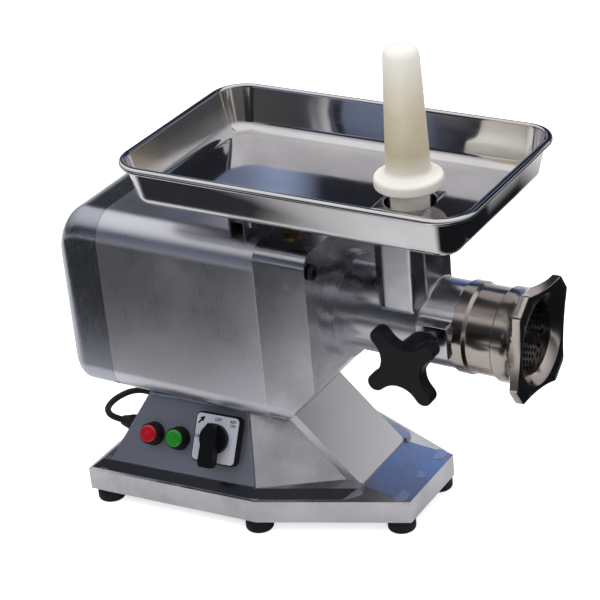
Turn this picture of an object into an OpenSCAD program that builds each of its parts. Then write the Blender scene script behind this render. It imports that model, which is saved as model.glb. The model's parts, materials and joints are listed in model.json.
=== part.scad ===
// Electric meat grinder: pedestal, motor housing, gearbox, grinding head and pan.
// X runs forward to the ring nut, Y to the side away from the controls, Z up. Millimetres.

/* [Stand] */
// height of the rubber feet under the base
foot_h = 13; // [8:1:20]
// diameter of a rubber foot
foot_d = 29; // [24:1:36]
// height of the upright wall round the base
base_wall_h = 24.5; // [18:0.5:32]
// half width of the base at its rear edge
base_rear_half = 122; // [100:1:130]
// half width of the base at its middle corners
base_mid_half = 109; // [90:1:120]
// half width of the base at its front edge
base_front_half = 48; // [40:1:60]
// X of the base's rear edge
base_rear_x = -218; // [-240:1:-190]
// X of the base's middle corners
base_mid_x = -23; // [-60:1:20]
// X of the base's front edge
base_front_x = 122; // [100:1:140]
// angle of the pedestal's sides from level
side_slope = 60; // [50:1:75]
// angle of the pedestal's front cover from level
front_slope = 42.8; // [35:0.1:55]
// angle of the two facets beside the front cover
facet_slope = 57; // [45:1:65]
// width of the front cover block
cover_w = 93.2; // [80:0.2:110]
// height of the front cover block above the facet behind it
cover_t = 10.3; // [3:0.1:14]

/* [Housing] */
// width of the housing
house_w = 172; // [150:1:190]
// height of the housing
house_h = 202; // [180:1:220]
// height of the housing's underside above the table
house_z = 112; // [100:1:125]
// corner radius of the shell's section
house_r = 30; // [16:1:40]
// corner radius on top of the gearbox casting
casting_r = 15; // [8:1:30]
// X of the rear cover's back face
rear_x = -250; // [-270:1:-230]
// X of the seam between rear cover and shell
rear_seam_x = -196; // [-210:1:-180]
// X of the seam between shell and gearbox casting
front_seam_x = -11; // [-30:1:0]
// X of the casting's front face
face_x = 46; // [36:1:56]
// wall of shell and rear cover
shell_t = 3; // [2:0.5:5]
// wall of the gearbox casting
casting_t = 8; // [6:0.5:10]

/* [Grinding head] */
// height of the barrel axis above the table
axis_z = 224; // [210:1:240]
// diameter of the flange collar
flange_d = 108; // [96:1:120]
// outside diameter of the barrel
barrel_d = 86; // [80:1:92]
// bore of the barrel
bore_d = 66; // [60:1:70]
// X of the feed neck's axis
neck_x = 117.5; // [110:0.5:125]
// bore of the feed neck
throat_d = 50; // [46:1:52]
// diameter of the opening in the ring nut
nut_open_d = 70; // [64:1:74]
// distance from the axis to a flat of the lug plate
lug_flat_r = 50; // [48:0.5:54]
// reach of the lug plate's corners
lug_tip_r = 66; // [60:0.5:70]
// turn of the lug plate at rest
lug_turn = 35; // [0:5:90]
// diameter of the hole plate
plate_d = 82; // [80:0.5:84]
// diameter of a hole in the plate
plate_hole_d = 4.8; // [3:0.1:6]
// thickness of the hole plate
plate_t = 7.8; // [6:0.1:8]
// thickness of the lug plate
lug_t = 8.3; // [7:0.1:12]

/* [Pan and pusher] */
// length of the pan over its rim
pan_l = 377.5; // [340:0.5:400]
// width of the pan over its rim
pan_w = 228; // [200:1:260]
// X of the pan's middle
pan_x = 38.2; // [30:0.1:46]
// height of the rim's top above the table
pan_top_z = 392; // [370:1:410]
// height of the pan floor's underside
pan_floor_z = 345; // [335:1:355]
// thickness of the sheet
pan_t = 1.2; // [0.8:0.1:2]
// outer corner radius of the rim
pan_r = 36; // [28:1:50]
// top of the pusher above the table
pusher_top_z = 503; // [480:1:530]

/* [Controls] */
// side of the square switch plate
plate_side = 48; // [40:1:64]
// length of the selector's bar
bar_l = 45; // [38:1:50]
// travel of a push button
button_travel = 3; // [1:0.5:5]

/* [Gears] */
// teeth of the motor pinion
z_pinion = 16; // [12:1:20]
// teeth of the large lay gear
z_lay_big = 48; // [40:1:60]
// teeth of the small lay gear
z_lay_small = 16; // [12:1:20]
// teeth of the output gear
z_out = 44; // [36:1:50]
// module of the first pair
mod_1 = 1.25; // [1:0.25:1.5]
// module of the second pair
mod_2 = 1.5; // [1.25:0.25:2]
// height of the motor axis above the table
motor_z = 190; // [185:1:200]

/* [Hidden] */
$fn = 48;
base_z = foot_h + base_wall_h;
ped_z = 44;
house_top = house_z + house_h;
house_mid = house_z + house_h / 2;
// height of the raised foot under the pedestal, and of the cover's lower edge
plat_z = 45.6;
cover_foot_z = 42.6;
plat_slope = [0, 37, 40, 40, 40, 37];
run = 0.05;
seat_gap = 0.3;
// stations along the barrel, from the front back
nut_front_x = 250;
lug_back_x = nut_front_x - lug_t;
lip_x = nut_front_x - 17;
plate_x = lip_x - seat_gap - plate_t;
knife_t = 9.3;
knife_x = plate_x - seat_gap - knife_t;
auger_end_x = knife_x - seat_gap;
auger_x = 80;
nut_back_x = 216;
flange_x = 175;
sleeve_x = 146;
thread_r = 44;
nut_r = 46.5;
cap_r = 20;
// the stator lies on the shell's floor
stator_r = motor_z - house_z - shell_t - seat_gap;
// lay shaft place from the two centre distances
c1 = mod_1 * (z_pinion + z_lay_big) / 2;
c2 = mod_2 * (z_lay_small + z_out) / 2;
dz = axis_z - motor_z;
lay_z = (axis_z * axis_z - motor_z * motor_z - c2 * c2 + c1 * c1) / (2 * dz);
lay_y = sqrt(c1 * c1 - (lay_z - motor_z) * (lay_z - motor_z));
a_ml = atan2(lay_z - motor_z, lay_y);
a_lo = atan2(axis_z - lay_z, -lay_y);
// pedestal outline at ped_z, from the front right corner round
ped_front_x = 51.2;
ped = [[ped_front_x, -46.6], [ped_front_x, 46.6], [-27, 97], [-198, 110],
       [-198, -110], [-27, -97]];
base = [[base_front_x, -base_front_half], [base_front_x, base_front_half],
        [base_mid_x, base_mid_half], [base_rear_x, base_rear_half],
        [base_rear_x, -base_rear_half], [base_mid_x, -base_mid_half]];
panel_yaw = atan2(13, 171);
top_slope = [5.5, 13, 12, 12, 12, 13];
foot_at = [for (c = [[base_rear_x + 16, base_rear_half - 13], [base_mid_x - 4, base_mid_half - 12],
                     [base_front_x - 15, base_front_half - 7]], sy = [1, -1]) [c[0], sy * c[1]]];
sw_u = 123.5;
sw_v = 44;
cover_at = [[base_rear_x + 12, 0], [base_front_x - 14, 0],
            for (sy = [1, -1]) [(base_rear_x + base_mid_x) / 2, sy * ((base_rear_half + base_mid_half) / 2 - 12.5)]];
btn_v = 37.2;
btn_u = [sw_u - 75.5, sw_u - 45.5];
lens_r = 9.13;
boot_h = 14.5;
knob_x = 156.5;
knob_z = 231.5;
lobe_r = 8.5;
lobe_hollow_r = 21.7;
lobe_at = 35;
hole_pitch = 7;

// ---------- helpers ----------
module along_x() { rotate([90, 0, 90]) children(); }

// rod along X from x0 to x1, centred on (y, z)
module rod_x(x0, x1, r, y = 0, z = axis_z) {
  translate([x0, y, z]) rotate([0, 90, 0]) cylinder(h = x1 - x0, r = r);
}

// cone along X on the barrel axis
module cone_x(x0, x1, r0, r1) {
  translate([x0, 0, axis_z]) rotate([0, 90, 0]) cylinder(h = x1 - x0, r1 = r0, r2 = r1);
}

module tube_x(x0, x1, ro, ri, y = 0, z = axis_z) {
  difference() {
    rod_x(x0, x1, ro, y, z);
    rod_x(x0 - 1, x1 + 1, ri, y, z);
  }
}

// rectangle with rounded corners, centred
module round_rect(w, h, r) {
  union() {
    square([w - 2 * r, h], center = true);
    square([w, h - 2 * r], center = true);
    for (sx = [-1, 1], sy = [-1, 1])
      translate([sx * (w / 2 - r), sy * (h / 2 - r)]) circle(r = r);
  }
}

// removes all above the plane that rises inward from edge a-b at height z
module above(a, b, z, slope, grow = 0) {
  translate([a[0], a[1], z]) rotate([0, 0, atan2(b[1] - a[1], b[0] - a[0])])
    rotate([slope, 0, 0]) translate([-400, -400, grow]) cube([1200, 1200, 400]);
}

// frustum of the pedestal, shrunk by inset on every sloping face
module frustum(z0, z1, inset = 0) {
  difference() {
    translate([0, 0, z0]) linear_extrude(z1 - z0) polygon(base);
    above(ped[0], ped[1], ped_z, front_slope, -inset);
    above(ped[1], ped[2], ped_z, facet_slope, -inset);
    above(ped[2], ped[3], ped_z, side_slope, -inset);
    above(ped[3], ped[4], ped_z, 65, -inset);
    above(ped[4], ped[5], ped_z, side_slope, -inset);
    above(ped[5], ped[0], ped_z, facet_slope, -inset);
  }
}

// puts children on the control side: X along the lower edge, Y up the slope, Z outward
module on_panel(u = 0, v = 0) {
  translate([ped[4][0], ped[4][1], ped_z]) rotate([0, 0, panel_yaw]) rotate([side_slope, 0, 0])
    translate([u, v, 0]) children();
}

// puts children on the sloping front: X across, Y up the slope, Z outward
module on_front() {
  translate([ped_front_x, 0, ped_z]) rotate([0, 0, 90]) rotate([front_slope, 0, 0]) children();
}

// spur gear in the XY plane with a tooth on +X
module gear_2d(z, m) {
  pitch = 360 / z;
  rf = m * (z / 2 - 1.15);
  ra = m * (z / 2 + 0.85);
  polygon([for (i = [0 : z - 1]) for (k = [0 : 3])
    let (r = (k == 0 || k == 3) ? rf : ra,
         a = pitch * (i + [-0.28, -0.12, 0.12, 0.28][k])) [r * cos(a), r * sin(a)]]);
}

// gear along X on centre (y, z), first tooth at angle turn
module gear_x(x0, x1, z, m, y, h, turn, bore) {
  translate([x0, y, h]) along_x() rotate([0, 0, turn]) linear_extrude(x1 - x0) difference() {
    gear_2d(z, m);
    circle(r = bore);
  }
}

module screw_x(x, y, z, head_r, head_h, r, len) {
  difference() {
    union() {
      rod_x(x, x + head_h, head_r, y, z);
      rod_x(x - len, x + 0.01, r, y, z);
    }
    translate([x + head_h - 2.5, y, z]) rotate([0, 90, 0]) cylinder(h = 4, r = head_r * 0.5, $fn = 6);
  }
}

// ---------- stand ----------
module base_casting() color("silver") difference() {
  union() {
    base_shell();
    for (p = foot_at) translate([p[0], p[1], foot_h]) translate([0, 0, 2]) cylinder(h = 24, r = 9.5);
    for (p = cover_at) translate([p[0], p[1], foot_h + 2]) cylinder(h = 24, r = 6);
  }
  for (p = foot_at) translate([p[0], p[1], foot_h - 1]) cylinder(h = 20, r = 2.5);
  for (p = cover_at) translate([p[0], p[1], foot_h]) cylinder(h = 10, r = 2.2);
}

module base_shell() difference() {
  union() {
    translate([0, 0, foot_h]) linear_extrude(base_wall_h) polygon(base);
    difference() {
      translate([0, 0, base_z]) linear_extrude(ped_z + 20 - base_z) polygon(base);
      for (i = [0 : 5]) above(base[i], base[(i + 1) % 6], base_z, top_slope[i], -0.05);
      translate([-400, -400, cover_foot_z]) cube([900, 800, 100]);
    }
    raised_foot();
    frustum(base_z, house_z);
  }
  // hollow inside, open below
  translate([0, 0, foot_h - 1]) linear_extrude(base_wall_h + 1) offset_base(7);
  frustum(base_z - 1, house_z - 6, 6);
  translate([-130, -30, house_z - 8]) cube([60, 60, 10]);
  // panel openings
  for (u = btn_u) on_panel(u, btn_v) translate([0, 0, -12]) cylinder(h = 20, r = 11.2);
  on_panel(sw_u, sw_v) translate([-17, -17, -12]) cube([34, 34, 20]);
  // cord gland
  translate([-190, -66, 67]) rotate([0, -90, 0]) {
    translate([0, 0, -20]) cylinder(h = 40, r = 6.1);
    translate([0, 0, -1.3]) cylinder(h = 20, r = 10.6);
  }
}

// low step round the pedestal, open where the front cover stands
module raised_foot() difference() {
  translate([0, 0, base_z]) linear_extrude(plat_z - base_z) polygon([
    for (sy = [-1, 1]) each let (h = cover_w / 2, p = [[ped_front_x - 3, sy * h], [69.5, sy * h],
      [70.5, sy * (h + 7)], [54.5, sy * (h + 30)], [base_mid_x, sy * base_mid_half], [base_rear_x, sy * base_rear_half]])
      [for (i = [0 : 5]) p[sy < 0 ? i : 5 - i]]]);
  for (i = [1 : 5]) above(base[i], base[(i + 1) % 6], base_z, plat_slope[i], -1.2);
}

// base outline moved inward
module offset_base(d) {
  polygon([[base_front_x - d, -base_front_half + d * 0.6], [base_front_x - d, base_front_half - d * 0.6],
           [base_mid_x - d * 0.1, base_mid_half - d], [base_rear_x + d, base_rear_half - d],
           [base_rear_x + d, -base_rear_half + d], [base_mid_x - d * 0.1, -base_mid_half + d]]);
}

module front_cover() color("gainsboro") difference() {
  on_front() translate([-cover_w / 2, -12, 0]) cube([cover_w, 120, cover_t]);
  translate([-200, -200, house_z - 2.6]) cube([500, 400, 60]);
  translate([-200, -200, cover_foot_z - 40]) cube([500, 400, 40]);
}

module control_panel() color("slategray") difference() {
  on_panel() linear_extrude(2) polygon([[2, 3], [169, 3], [150, 76], [37, 76]]);
  for (u = btn_u) on_panel(u, btn_v) translate([0, 0, -1]) cylinder(h = 4, r = 11.2);
  on_panel(sw_u, sw_v) translate([-17, -17, -1]) cube([34, 34, 4]);
}

module bottom_cover() color("darkgray") difference() {
  translate([0, 0, foot_h]) linear_extrude(2) offset_base(7.3);
  for (p = foot_at) translate([p[0], p[1], foot_h - 1]) cylinder(h = 4, r = 2.6);
  for (p = cover_at)
    translate([p[0], p[1], foot_h - 1]) cylinder(h = 4, r = 2.2);
}

module bottom_screws() color("dimgray") for (p = cover_at)
  translate([p[0], p[1], foot_h - 1.5]) union() {
    cylinder(h = 1.5, r = 4);
    cylinder(h = 10, r = 2.2);
  }

module rubber_feet() color("black") for (p = foot_at) translate([p[0], p[1], 0]) difference() {
  rotate_extrude() polygon([[0, 0], [foot_d / 2 - 2, 0], [foot_d / 2, 2], [foot_d / 2, 9],
                            [foot_d / 2 - 2.5, foot_h], [0, foot_h]]);
  translate([0, 0, -1]) cylinder(h = 6, r = 5.5);
  translate([0, 0, 1]) cylinder(h = 20, r = 2.6);
}

module foot_screws() color("dimgray") for (p = foot_at) translate([p[0], p[1], 0]) union() {
  translate([0, 0, 2]) cylinder(h = 3, r = 5);
  translate([0, 0, 3]) cylinder(h = 16, r = 2.5);
}

// ---------- housing ----------
module section(inset = 0) translate([0, house_mid])
  round_rect(house_w - 2 * inset, house_h - 2 * inset, house_r - inset);

module motor_shell() color("silver") difference() {
  translate([rear_seam_x, 0, 0]) along_x() linear_extrude(front_seam_x - rear_seam_x) difference() {
    section();
    section(shell_t);
  }
  translate([-120, -30, house_z - 5]) cube([40, 60, 20]);
}

// side outline of the rear cover, X to the seam
module cover_side(i = 0) {
  x = rear_x + i;
  z0 = house_z + i;
  z1 = house_top - i;
  r1 = 35 - i;
  r2 = 16 - i;
  union() {
    translate([x + r1, z0]) square([100, z1 - z0]);
    translate([x, z0 + r2]) square([60, z1 - z0 - r1 - r2]);
    translate([x + r2, z0]) square([60, 40]);
    translate([x + r1, z1 - r1]) circle(r = r1);
    translate([x + r2, z0 + r2]) circle(r = r2);
  }
}

module cover_plan(i = 0) {
  r = 18 - i;
  w = house_w / 2 - i;
  union() {
    translate([rear_x + i + r, -w]) square([100, 2 * w]);
    translate([rear_x + i, -w + r]) square([100, 2 * w - 2 * r]);
    for (sy = [-1, 1]) translate([rear_x + i + r, sy * (w - r)]) circle(r = r);
  }
}

module cover_block(i = 0, x1 = rear_seam_x) intersection() {
  translate([rear_x - 5, 0, 0]) along_x() linear_extrude(x1 - rear_x + 5) section(i);
  translate([0, 150, 0]) rotate([90, 0, 0]) linear_extrude(300) cover_side(i);
  linear_extrude(400) cover_plan(i);
}

module rear_cover() color("silver") difference() {
  cover_block();
  cover_block(shell_t, rear_seam_x + 1);
}

// section of the gearbox casting: tight corners on top, round ones below
module casting_section(i = 0) {
  w = house_w / 2 - i;
  z0 = house_z + i;
  z1 = house_top - i;
  rt = casting_r - min(i, casting_r - 4);
  rb = house_r - i;
  union() {
    translate([-w + rt, z1 - 60]) square([2 * w - 2 * rt, 60]);
    translate([-w, z0 + rb]) square([2 * w, z1 - z0 - rb - rt]);
    translate([-w + rb, z0]) square([2 * w - 2 * rb, 60]);
    for (sy = [-1, 1]) {
      translate([sy * (w - rt), z1 - rt]) circle(r = rt);
      translate([sy * (w - rb), z0 + rb]) circle(r = rb);
    }
  }
}

module gear_casting() color("silver") difference() {
  union() {
    intersection() {
      translate([front_seam_x, 0, 0]) along_x() linear_extrude(face_x - front_seam_x)
        casting_section();
      translate([0, 150, 0]) rotate([90, 0, 0]) linear_extrude(300)
        polygon([[front_seam_x, house_z], [-2, house_z], [face_x, 168], [face_x, house_top],
                 [front_seam_x, house_top]]);
    }
    // flange collar with an eased front edge, and the nose inside the barrel
    rod_x(face_x - 1, face_x + 6, flange_d / 2);
    rod_x(face_x, face_x + 8, flange_d / 2 - 2);
    rod_x(face_x, face_x + 14, bore_d / 2 - 0.1);
  }
  // gear chamber
  intersection() {
    translate([-1, 0, 0]) along_x() linear_extrude(39) casting_section(casting_t);
    translate([0, 150, 0]) rotate([90, 0, 0]) linear_extrude(300)
      polygon([[-1, 124], [1, 124], [30, 157.8], [38, 167.1], [38, 306], [-1, 306]]);
  }
  // barrel seat in the collar
  difference() {
    rod_x(face_x + 4, face_x + 10, barrel_d / 2);
    rod_x(face_x, face_x + 12, bore_d / 2 - 0.1);
  }
  // bearing and seal seats
  rod_x(37, face_x + 6, 26);
  rod_x(face_x, face_x + 20, 20);
  rod_x(-9, 0, 14);
  rod_x(-12, 0, 6.5, 0, axis_z);
  rod_x(-12, 0, 17.5, 0, motor_z);
  rod_x(-9, 0, 13, lay_y, lay_z);
  rod_x(37, 44, 13, lay_y, lay_z);
  // screws and filler
  for (sy = [-1, 1]) rod_x(face_x - 12, face_x + 1, 4, sy * 74.5, 294);
  translate([12.5, -49.5, 300]) cylinder(h = 20, r = 7);
}

module casting_screws() color("black")
  for (sy = [-1, 1]) screw_x(face_x, sy * 74.5, 294, 8, 3, 4, 11);

module oil_plug() color("goldenrod") translate([12.5, -49.5, 0]) difference() {
  union() {
    translate([0, 0, 307]) cylinder(h = 7, r = 7);
    translate([0, 0, house_top]) cylinder(h = 1.6, r = 8.5);
  }
  translate([-1.2, -10, house_top + 0.4]) cube([2.4, 20, 3]);
}

module pan_bracket() color("darkgray") difference() {
  union() {
    translate([-45, -69, house_top - 10]) cube([2, 138, pan_floor_z - house_top + 10]);
    translate([-29, -69, house_top - 10]) cube([2, 138, pan_floor_z - house_top + 10]);
    translate([-45, -69, pan_floor_z - 2]) cube([18, 138, 2]);
  }
  translate([-60, 0, 0]) along_x() linear_extrude(60) section();
  for (sy = [-1, 1]) rod_x(-50, -20, 3, sy * 58, 326);
}

module bracket_bolts() color("gray") for (sy = [-1, 1]) {
  rod_x(-47, -24.5, 3, sy * 58, 326);
  translate([-27, sy * 58, 326]) rotate([0, 90, 0]) cylinder(h = 4.5, r = 5.8, $fn = 6);
  rod_x(-48.5, -45, 5.5, sy * 58, 326);
}

// ---------- motor ----------
module stator_core() color("dimgray") difference() {
  rod_x(-155, -85, stator_r, 0, motor_z);
  rod_x(-156, -84, 36, 0, motor_z);
}

module windings() color("chocolate") for (x = [-179, -85]) tube_x(x, x + 24, 60, 40, 0, motor_z);

module rotor() color("gray") tube_x(-155, -85, 35.5, 9, 0, motor_z);

module motor_shaft() color("silver") union() {
  rod_x(-226, -12.5, 7.5, 0, motor_z);
  rod_x(-12.5, 3, 7.45, 0, motor_z);
  rod_x(-155, -85, 9, 0, motor_z);
  rod_x(3, 14, 6, 0, motor_z);
}

module cooling_fan() color("black") difference() {
  union() {
    rod_x(-212, -200, 16, 0, motor_z);
    rod_x(-202, -200, 52, 0, motor_z);
    for (a = [0 : 40 : 320]) translate([-211, 0, motor_z]) rotate([a, 0, 0])
      translate([0, -1, 14]) cube([10, 2, 36]);
  }
  rod_x(-213, -199, 7.5, 0, motor_z);
}

// bearings of the motor: one in the casting, one in the rear spider ring
module motor_bearings() color("silver") {
  tube_x(-11, 0, 17.5, 7.45 + run, 0, motor_z);
  tube_x(-196, -187, 17.5, 7.5 + run, 0, motor_z);
}

module motor_spider() color("silver") difference() {
  union() {
    rod_x(-196, -187, 22, 0, motor_z);
    translate([-196, -83, motor_z - 8]) cube([9, 166, 16]);
    translate([-196, -8, motor_z]) cube([9, 16, 121]);
  }
  rod_x(-200, -180, 17.5, 0, motor_z);
}

module motor_pinion() color("gray")
  gear_x(4, 14, z_pinion, mod_1, 0, motor_z, a_ml, 6);

module run_capacitor() color("whitesmoke")
  rod_x(-150, -60, cap_r, 0, house_top - shell_t - cap_r - seat_gap);

// ---------- gear train ----------
module lay_gear_big() color("gray")
  gear_x(4, 14, z_lay_big, mod_1, lay_y, lay_z, a_ml + 180 + 180 / z_lay_big, 9);

module lay_gear_small() color("gray")
  gear_x(16, 32, z_lay_small, mod_2, lay_y, lay_z, a_lo, 8);

module lay_shaft() color("silver") union() {
  rod_x(-8.5, 43.5, 6, lay_y, lay_z);
  rod_x(4, 14, 9, lay_y, lay_z);
  rod_x(14, 34, 8, lay_y, lay_z);
}

module lay_bearings() color("silver") {
  tube_x(-9, -1, 13, 6 + run, lay_y, lay_z);
  tube_x(37, 44, 13, 6 + run, lay_y, lay_z);
}

module output_gear() color("gray")
  gear_x(17, 31, z_out, mod_2, 0, axis_z, a_lo + 180 + 180 / z_out, 15);

module output_shaft() color("silver") difference() {
  union() {
    rod_x(-8.5, 17, 6);
    rod_x(17, 35, 15);
    rod_x(35, 76, 12.5);
  }
  translate([62, -7, axis_z - 7]) cube([20, 14, 14]);
}

module output_bearings() color("silver") {
  tube_x(-9, -1, 14, 6 + run);
  tube_x(37, 52, 26, 12.5 + run);
}

module shaft_seal() color("black") tube_x(52.5, 60, 20, 12.5 + run);

// ---------- grinding head ----------
module neck_plan(d = 0)
  polygon([[-31 - d, 21.5 + d / 2], [-16 - d / 2, 36.5 + d], [16 + d / 2, 36.5 + d],
           [26 + d, 26.5 + d / 2], [26 + d, -26.5 - d / 2], [16 + d / 2, -36.5 - d],
           [-16 - d / 2, -36.5 - d], [-31 - d, -21.5 - d / 2]]);

module head_body() color("silver") difference() {
  union() {
    rod_x(face_x + 4, 175, barrel_d / 2);
    translate([neck_x, 0, axis_z]) linear_extrude(pan_floor_z - axis_z) neck_plan();
    translate([neck_x - 2, 0, pan_floor_z - 1]) linear_extrude(4.5) square([52, 60], center = true);
    translate([knob_x - 15.5, -50, knob_z - 20]) cube([34, 20, 34]);
  }
  rod_x(face_x - 10, sleeve_x, bore_d / 2);
  rod_x(sleeve_x, 180, 38);
  translate([neck_x, 0, axis_z]) cylinder(h = 140, r = throat_d / 2);
  translate([knob_x, -60, knob_z]) rotate([-90, 0, 0]) cylinder(h = 30, r = 6 + run);
}

module nose_sleeve() color("lightgray") difference() {
  union() {
    rod_x(sleeve_x, flange_x + 1, 38);
    rod_x(flange_x, flange_x + 11.5, 45.5);
    cone_x(flange_x + 11.5, flange_x + 14.5, 45.5, 42.5);
    rod_x(flange_x + 14, flange_x + 17, 42.5);
    rod_x(flange_x + 16, nut_back_x - seat_gap, 43.5);
    rod_x(nut_back_x - 1, lip_x - seat_gap, thread_r);
  }
  rod_x(sleeve_x - 1, knife_x - 4, bore_d / 2);
  rod_x(knife_x - 5, lip_x + 1, plate_d / 2 + 0.15);
  rod_x(plate_x, lip_x + 1, 2.5, 0, axis_z - plate_d / 2);
}

module auger_core() color("silver") union() {
  translate([63, -6.9, axis_z - 6.9]) cube([auger_x - 63, 13.8, 13.8]);
  rod_x(auger_x - 2, auger_end_x, 13);
  translate([auger_end_x, -6.5, axis_z - 6.5]) cube([plate_x - seat_gap - auger_end_x, 13, 13]);
  difference() {
    rod_x(plate_x - 1, nut_front_x - 6, 6);
    translate([nut_front_x - 9, -1.5, axis_z - 7]) cube([4, 3, 14]);
  }
}

module auger_flight() color("silver") translate([auger_x, 0, axis_z]) along_x()
  linear_extrude(height = auger_end_x - auger_x - 4, twist = -1110, slices = 124, segments = 4, $fn = 4)
    polygon([[12.2, -5.2], [32.4, -2.6], [32.4, 2.6], [12.2, 5.2]]);

module cross_knife() color("lightgray") translate([knife_x, 0, axis_z]) along_x()
  linear_extrude(knife_t) difference() {
    union() {
      circle(r = 15);
      for (a = [0 : 90 : 270]) rotate(a) polygon([[0, -7], [30, -8], [37.8, -6], [37.8, 3], [30, 5],
                                                  [0, 7]]);
    }
    square(13, center = true);
  }

// holes of the plate in staggered columns
module hole_plate() color("lightgray") translate([plate_x, 0, axis_z]) along_x()
  linear_extrude(plate_t) difference() {
    circle(r = plate_d / 2);
    circle(r = 6 + run);
    for (i = [-6 : 6], j = [-6 : 6]) let (y = i * hole_pitch * 0.866, z = (j + (i % 2 == 0 ? 0 : 0.5)) * hole_pitch)
      if (norm([y, z]) > 10.5 && norm([y, z]) < plate_d / 2 - 5) translate([y, z]) circle(r = plate_hole_d / 2);
    translate([0, -plate_d / 2]) circle(r = 2.6);
  }

module key_pin() color("silver")
  rod_x(plate_x + seat_gap, lip_x - seat_gap, 2.5, 0, axis_z - plate_d / 2);

module lug_plan() rotate(lug_turn - 45) difference() {
  intersection() {
    square(2 * (lug_flat_r + 10), center = true);
    rotate(45) square(2 * (lug_tip_r - 2), center = true);
  }
  for (a = [0 : 90 : 270]) rotate(a) translate([lug_flat_r + 189, 0]) circle(r = 189);
}

module ring_nut() color("lightgray") difference() {
  union() {
    cone_x(nut_back_x, nut_back_x + 1.6, nut_r - 1.8, nut_r);
    rod_x(nut_back_x + 1.5, lug_back_x + 1, nut_r);
    translate([lug_back_x, 0, axis_z]) along_x() linear_extrude(lug_t) lug_plan();
    // hollow flare from the ring out to the corners
    intersection() {
      union() {
        cone_x(lug_back_x - 16, lug_back_x - 8, nut_r - 0.1, nut_r + 1.6);
        cone_x(lug_back_x - 8, lug_back_x - 3.5, nut_r + 1.6, nut_r + 4.8);
        cone_x(lug_back_x - 3.5, lug_back_x - 0.8, nut_r + 4.8, nut_r + 10);
        cone_x(lug_back_x - 0.8, lug_back_x + 1, nut_r + 10, lug_tip_r + 12);
      }
      translate([lug_back_x - 20, 0, axis_z]) along_x() linear_extrude(22) lug_plan();
    }
  }
  rod_x(nut_back_x - 1, lip_x, thread_r + run);
  rod_x(lip_x - 1, nut_front_x + 5, nut_open_d / 2);
  cone_x(nut_front_x - 7, nut_front_x + 0.7, nut_open_d / 2 - 0.1, nut_open_d / 2 + 11);
}

module clamp_screw() color("silver") translate([knob_x, 0, knob_z]) rotate([90, 0, 0])
  translate([0, 0, 38.3]) cylinder(h = 62, r = 6);

module clamp_knob() color("black") translate([knob_x, 0, knob_z]) rotate([90, 0, 0]) difference() {
  union() {
    translate([0, 0, 62]) cylinder(h = 34, r1 = 15, r2 = 17.5);
    translate([0, 0, 96]) linear_extrude(14) rotate(38) star();
  }
  translate([0, 0, 61]) cylinder(h = 39.3, r = 6);
}

// four round lobes with hollow sides between them
module star() union() {
  difference() {
    square(2 * (lobe_r + lobe_hollow_r), center = true);
    for (a = [45 : 90 : 315]) rotate(a) translate([sqrt(2) * (lobe_r + lobe_hollow_r), 0]) circle(r = lobe_hollow_r);
  }
  for (a = [0 : 90 : 270]) rotate(a) {
    translate([lobe_at, 0]) circle(r = lobe_r);
    translate([10, -lobe_r]) square([lobe_at - 10, 2 * lobe_r]);
  }
}

// ---------- pan and pusher ----------
// profile of the pan's wall and rolled rim, from its corner centre outward
module pan_profile() {
  o = pan_r - 42;
  f = pan_floor_z;
  t = pan_top_z;
  translate([o, 0]) polygon([
    [-o, f + pan_t], [12, f + pan_t], [15.2, f + pan_t + 1.2], [17, f + 5], [33.5, t - 3],
    [34.8, t - 0.8], [36.5, t], [39, t], [41.2, t - 0.9], [42, t - 3], [41.2, t - 5.3],
    [39, t - 6.4], [37.2, t - 5.6], [38, t - 4.6], [39.1, t - 5.1], [40.3, t - 4.4],
    [40.8, t - 3], [40.2, t - 1.7], [38.8, t - 1.2], [36.9, t - 1.2], [35.9, t - 1.7],
    [34.7, t - 3.4], [18.1, f + 4.5], [16, f + 1.4], [12.4, f], [-o, f]]);
}

module pan_side(half_l, half_w) translate([half_l, half_w, 0]) rotate([90, 0, 0])
  linear_extrude(2 * half_w) pan_profile();

module pan() color("lightgray") {
  lx = pan_l / 2 - pan_r;
  ly = pan_w / 2 - pan_r;
  translate([pan_x, 0, 0]) difference() {
    union() {
      translate([-lx, -ly, pan_floor_z]) cube([2 * lx, 2 * ly, pan_t]);
      for (a = [0, 180]) rotate(a) pan_side(lx, ly);
      for (a = [90, 270]) rotate(a) pan_side(ly, lx);
      for (q = [[1, 1, 0], [-1, 1, 90], [-1, -1, 180], [1, -1, 270]])
        translate([q[0] * lx, q[1] * ly, 0]) rotate(q[2]) rotate_extrude(angle = 90) pan_profile();
    }
    translate([neck_x - 2 - pan_x, 0, pan_floor_z]) cube([52.8, 60.8, 20], center = true);
  }
}

module pusher() color("ivory") translate([neck_x, 0, 0]) union() {
  translate([0, 0, 257]) cylinder(h = 108, r1 = 18.2, r2 = 19);
  translate([0, 0, 364]) rotate_extrude() polygon([[0, 0], [31.4, 0], [32.8, 0.8], [33.5, 2.6],
    [33.5, 8.4], [32.6, 10.6], [30.4, 12], [26, 13.2], [23.6, 15.2], [22.2, 18.6], [21.2, 24], [0, 24]]);
  translate([0, 0, 376]) cylinder(h = pusher_top_z - 386, r1 = 21.5, r2 = 17.4);
  translate([0, 0, pusher_top_z - 10]) rotate_extrude() polygon([[0, 0], [17.4, 0], [16.8, 3], [14.6, 6.4],
    [10.5, 8.8], [5, 9.8], [0, 10]]);
}

// ---------- controls ----------
module button_boots() color("black") for (u = btn_u) on_panel(u, btn_v) difference() {
  union() {
    translate([0, 0, -10]) cylinder(h = 13, r = 11);
    translate([0, 0, 2]) cylinder(h = 2, r = 12.3);
    translate([0, 0, 3]) cylinder(h = boot_h - 3, r = 10.8);
  }
  translate([0, 0, -11]) cylinder(h = 40, r = 9.2);
}

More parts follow.
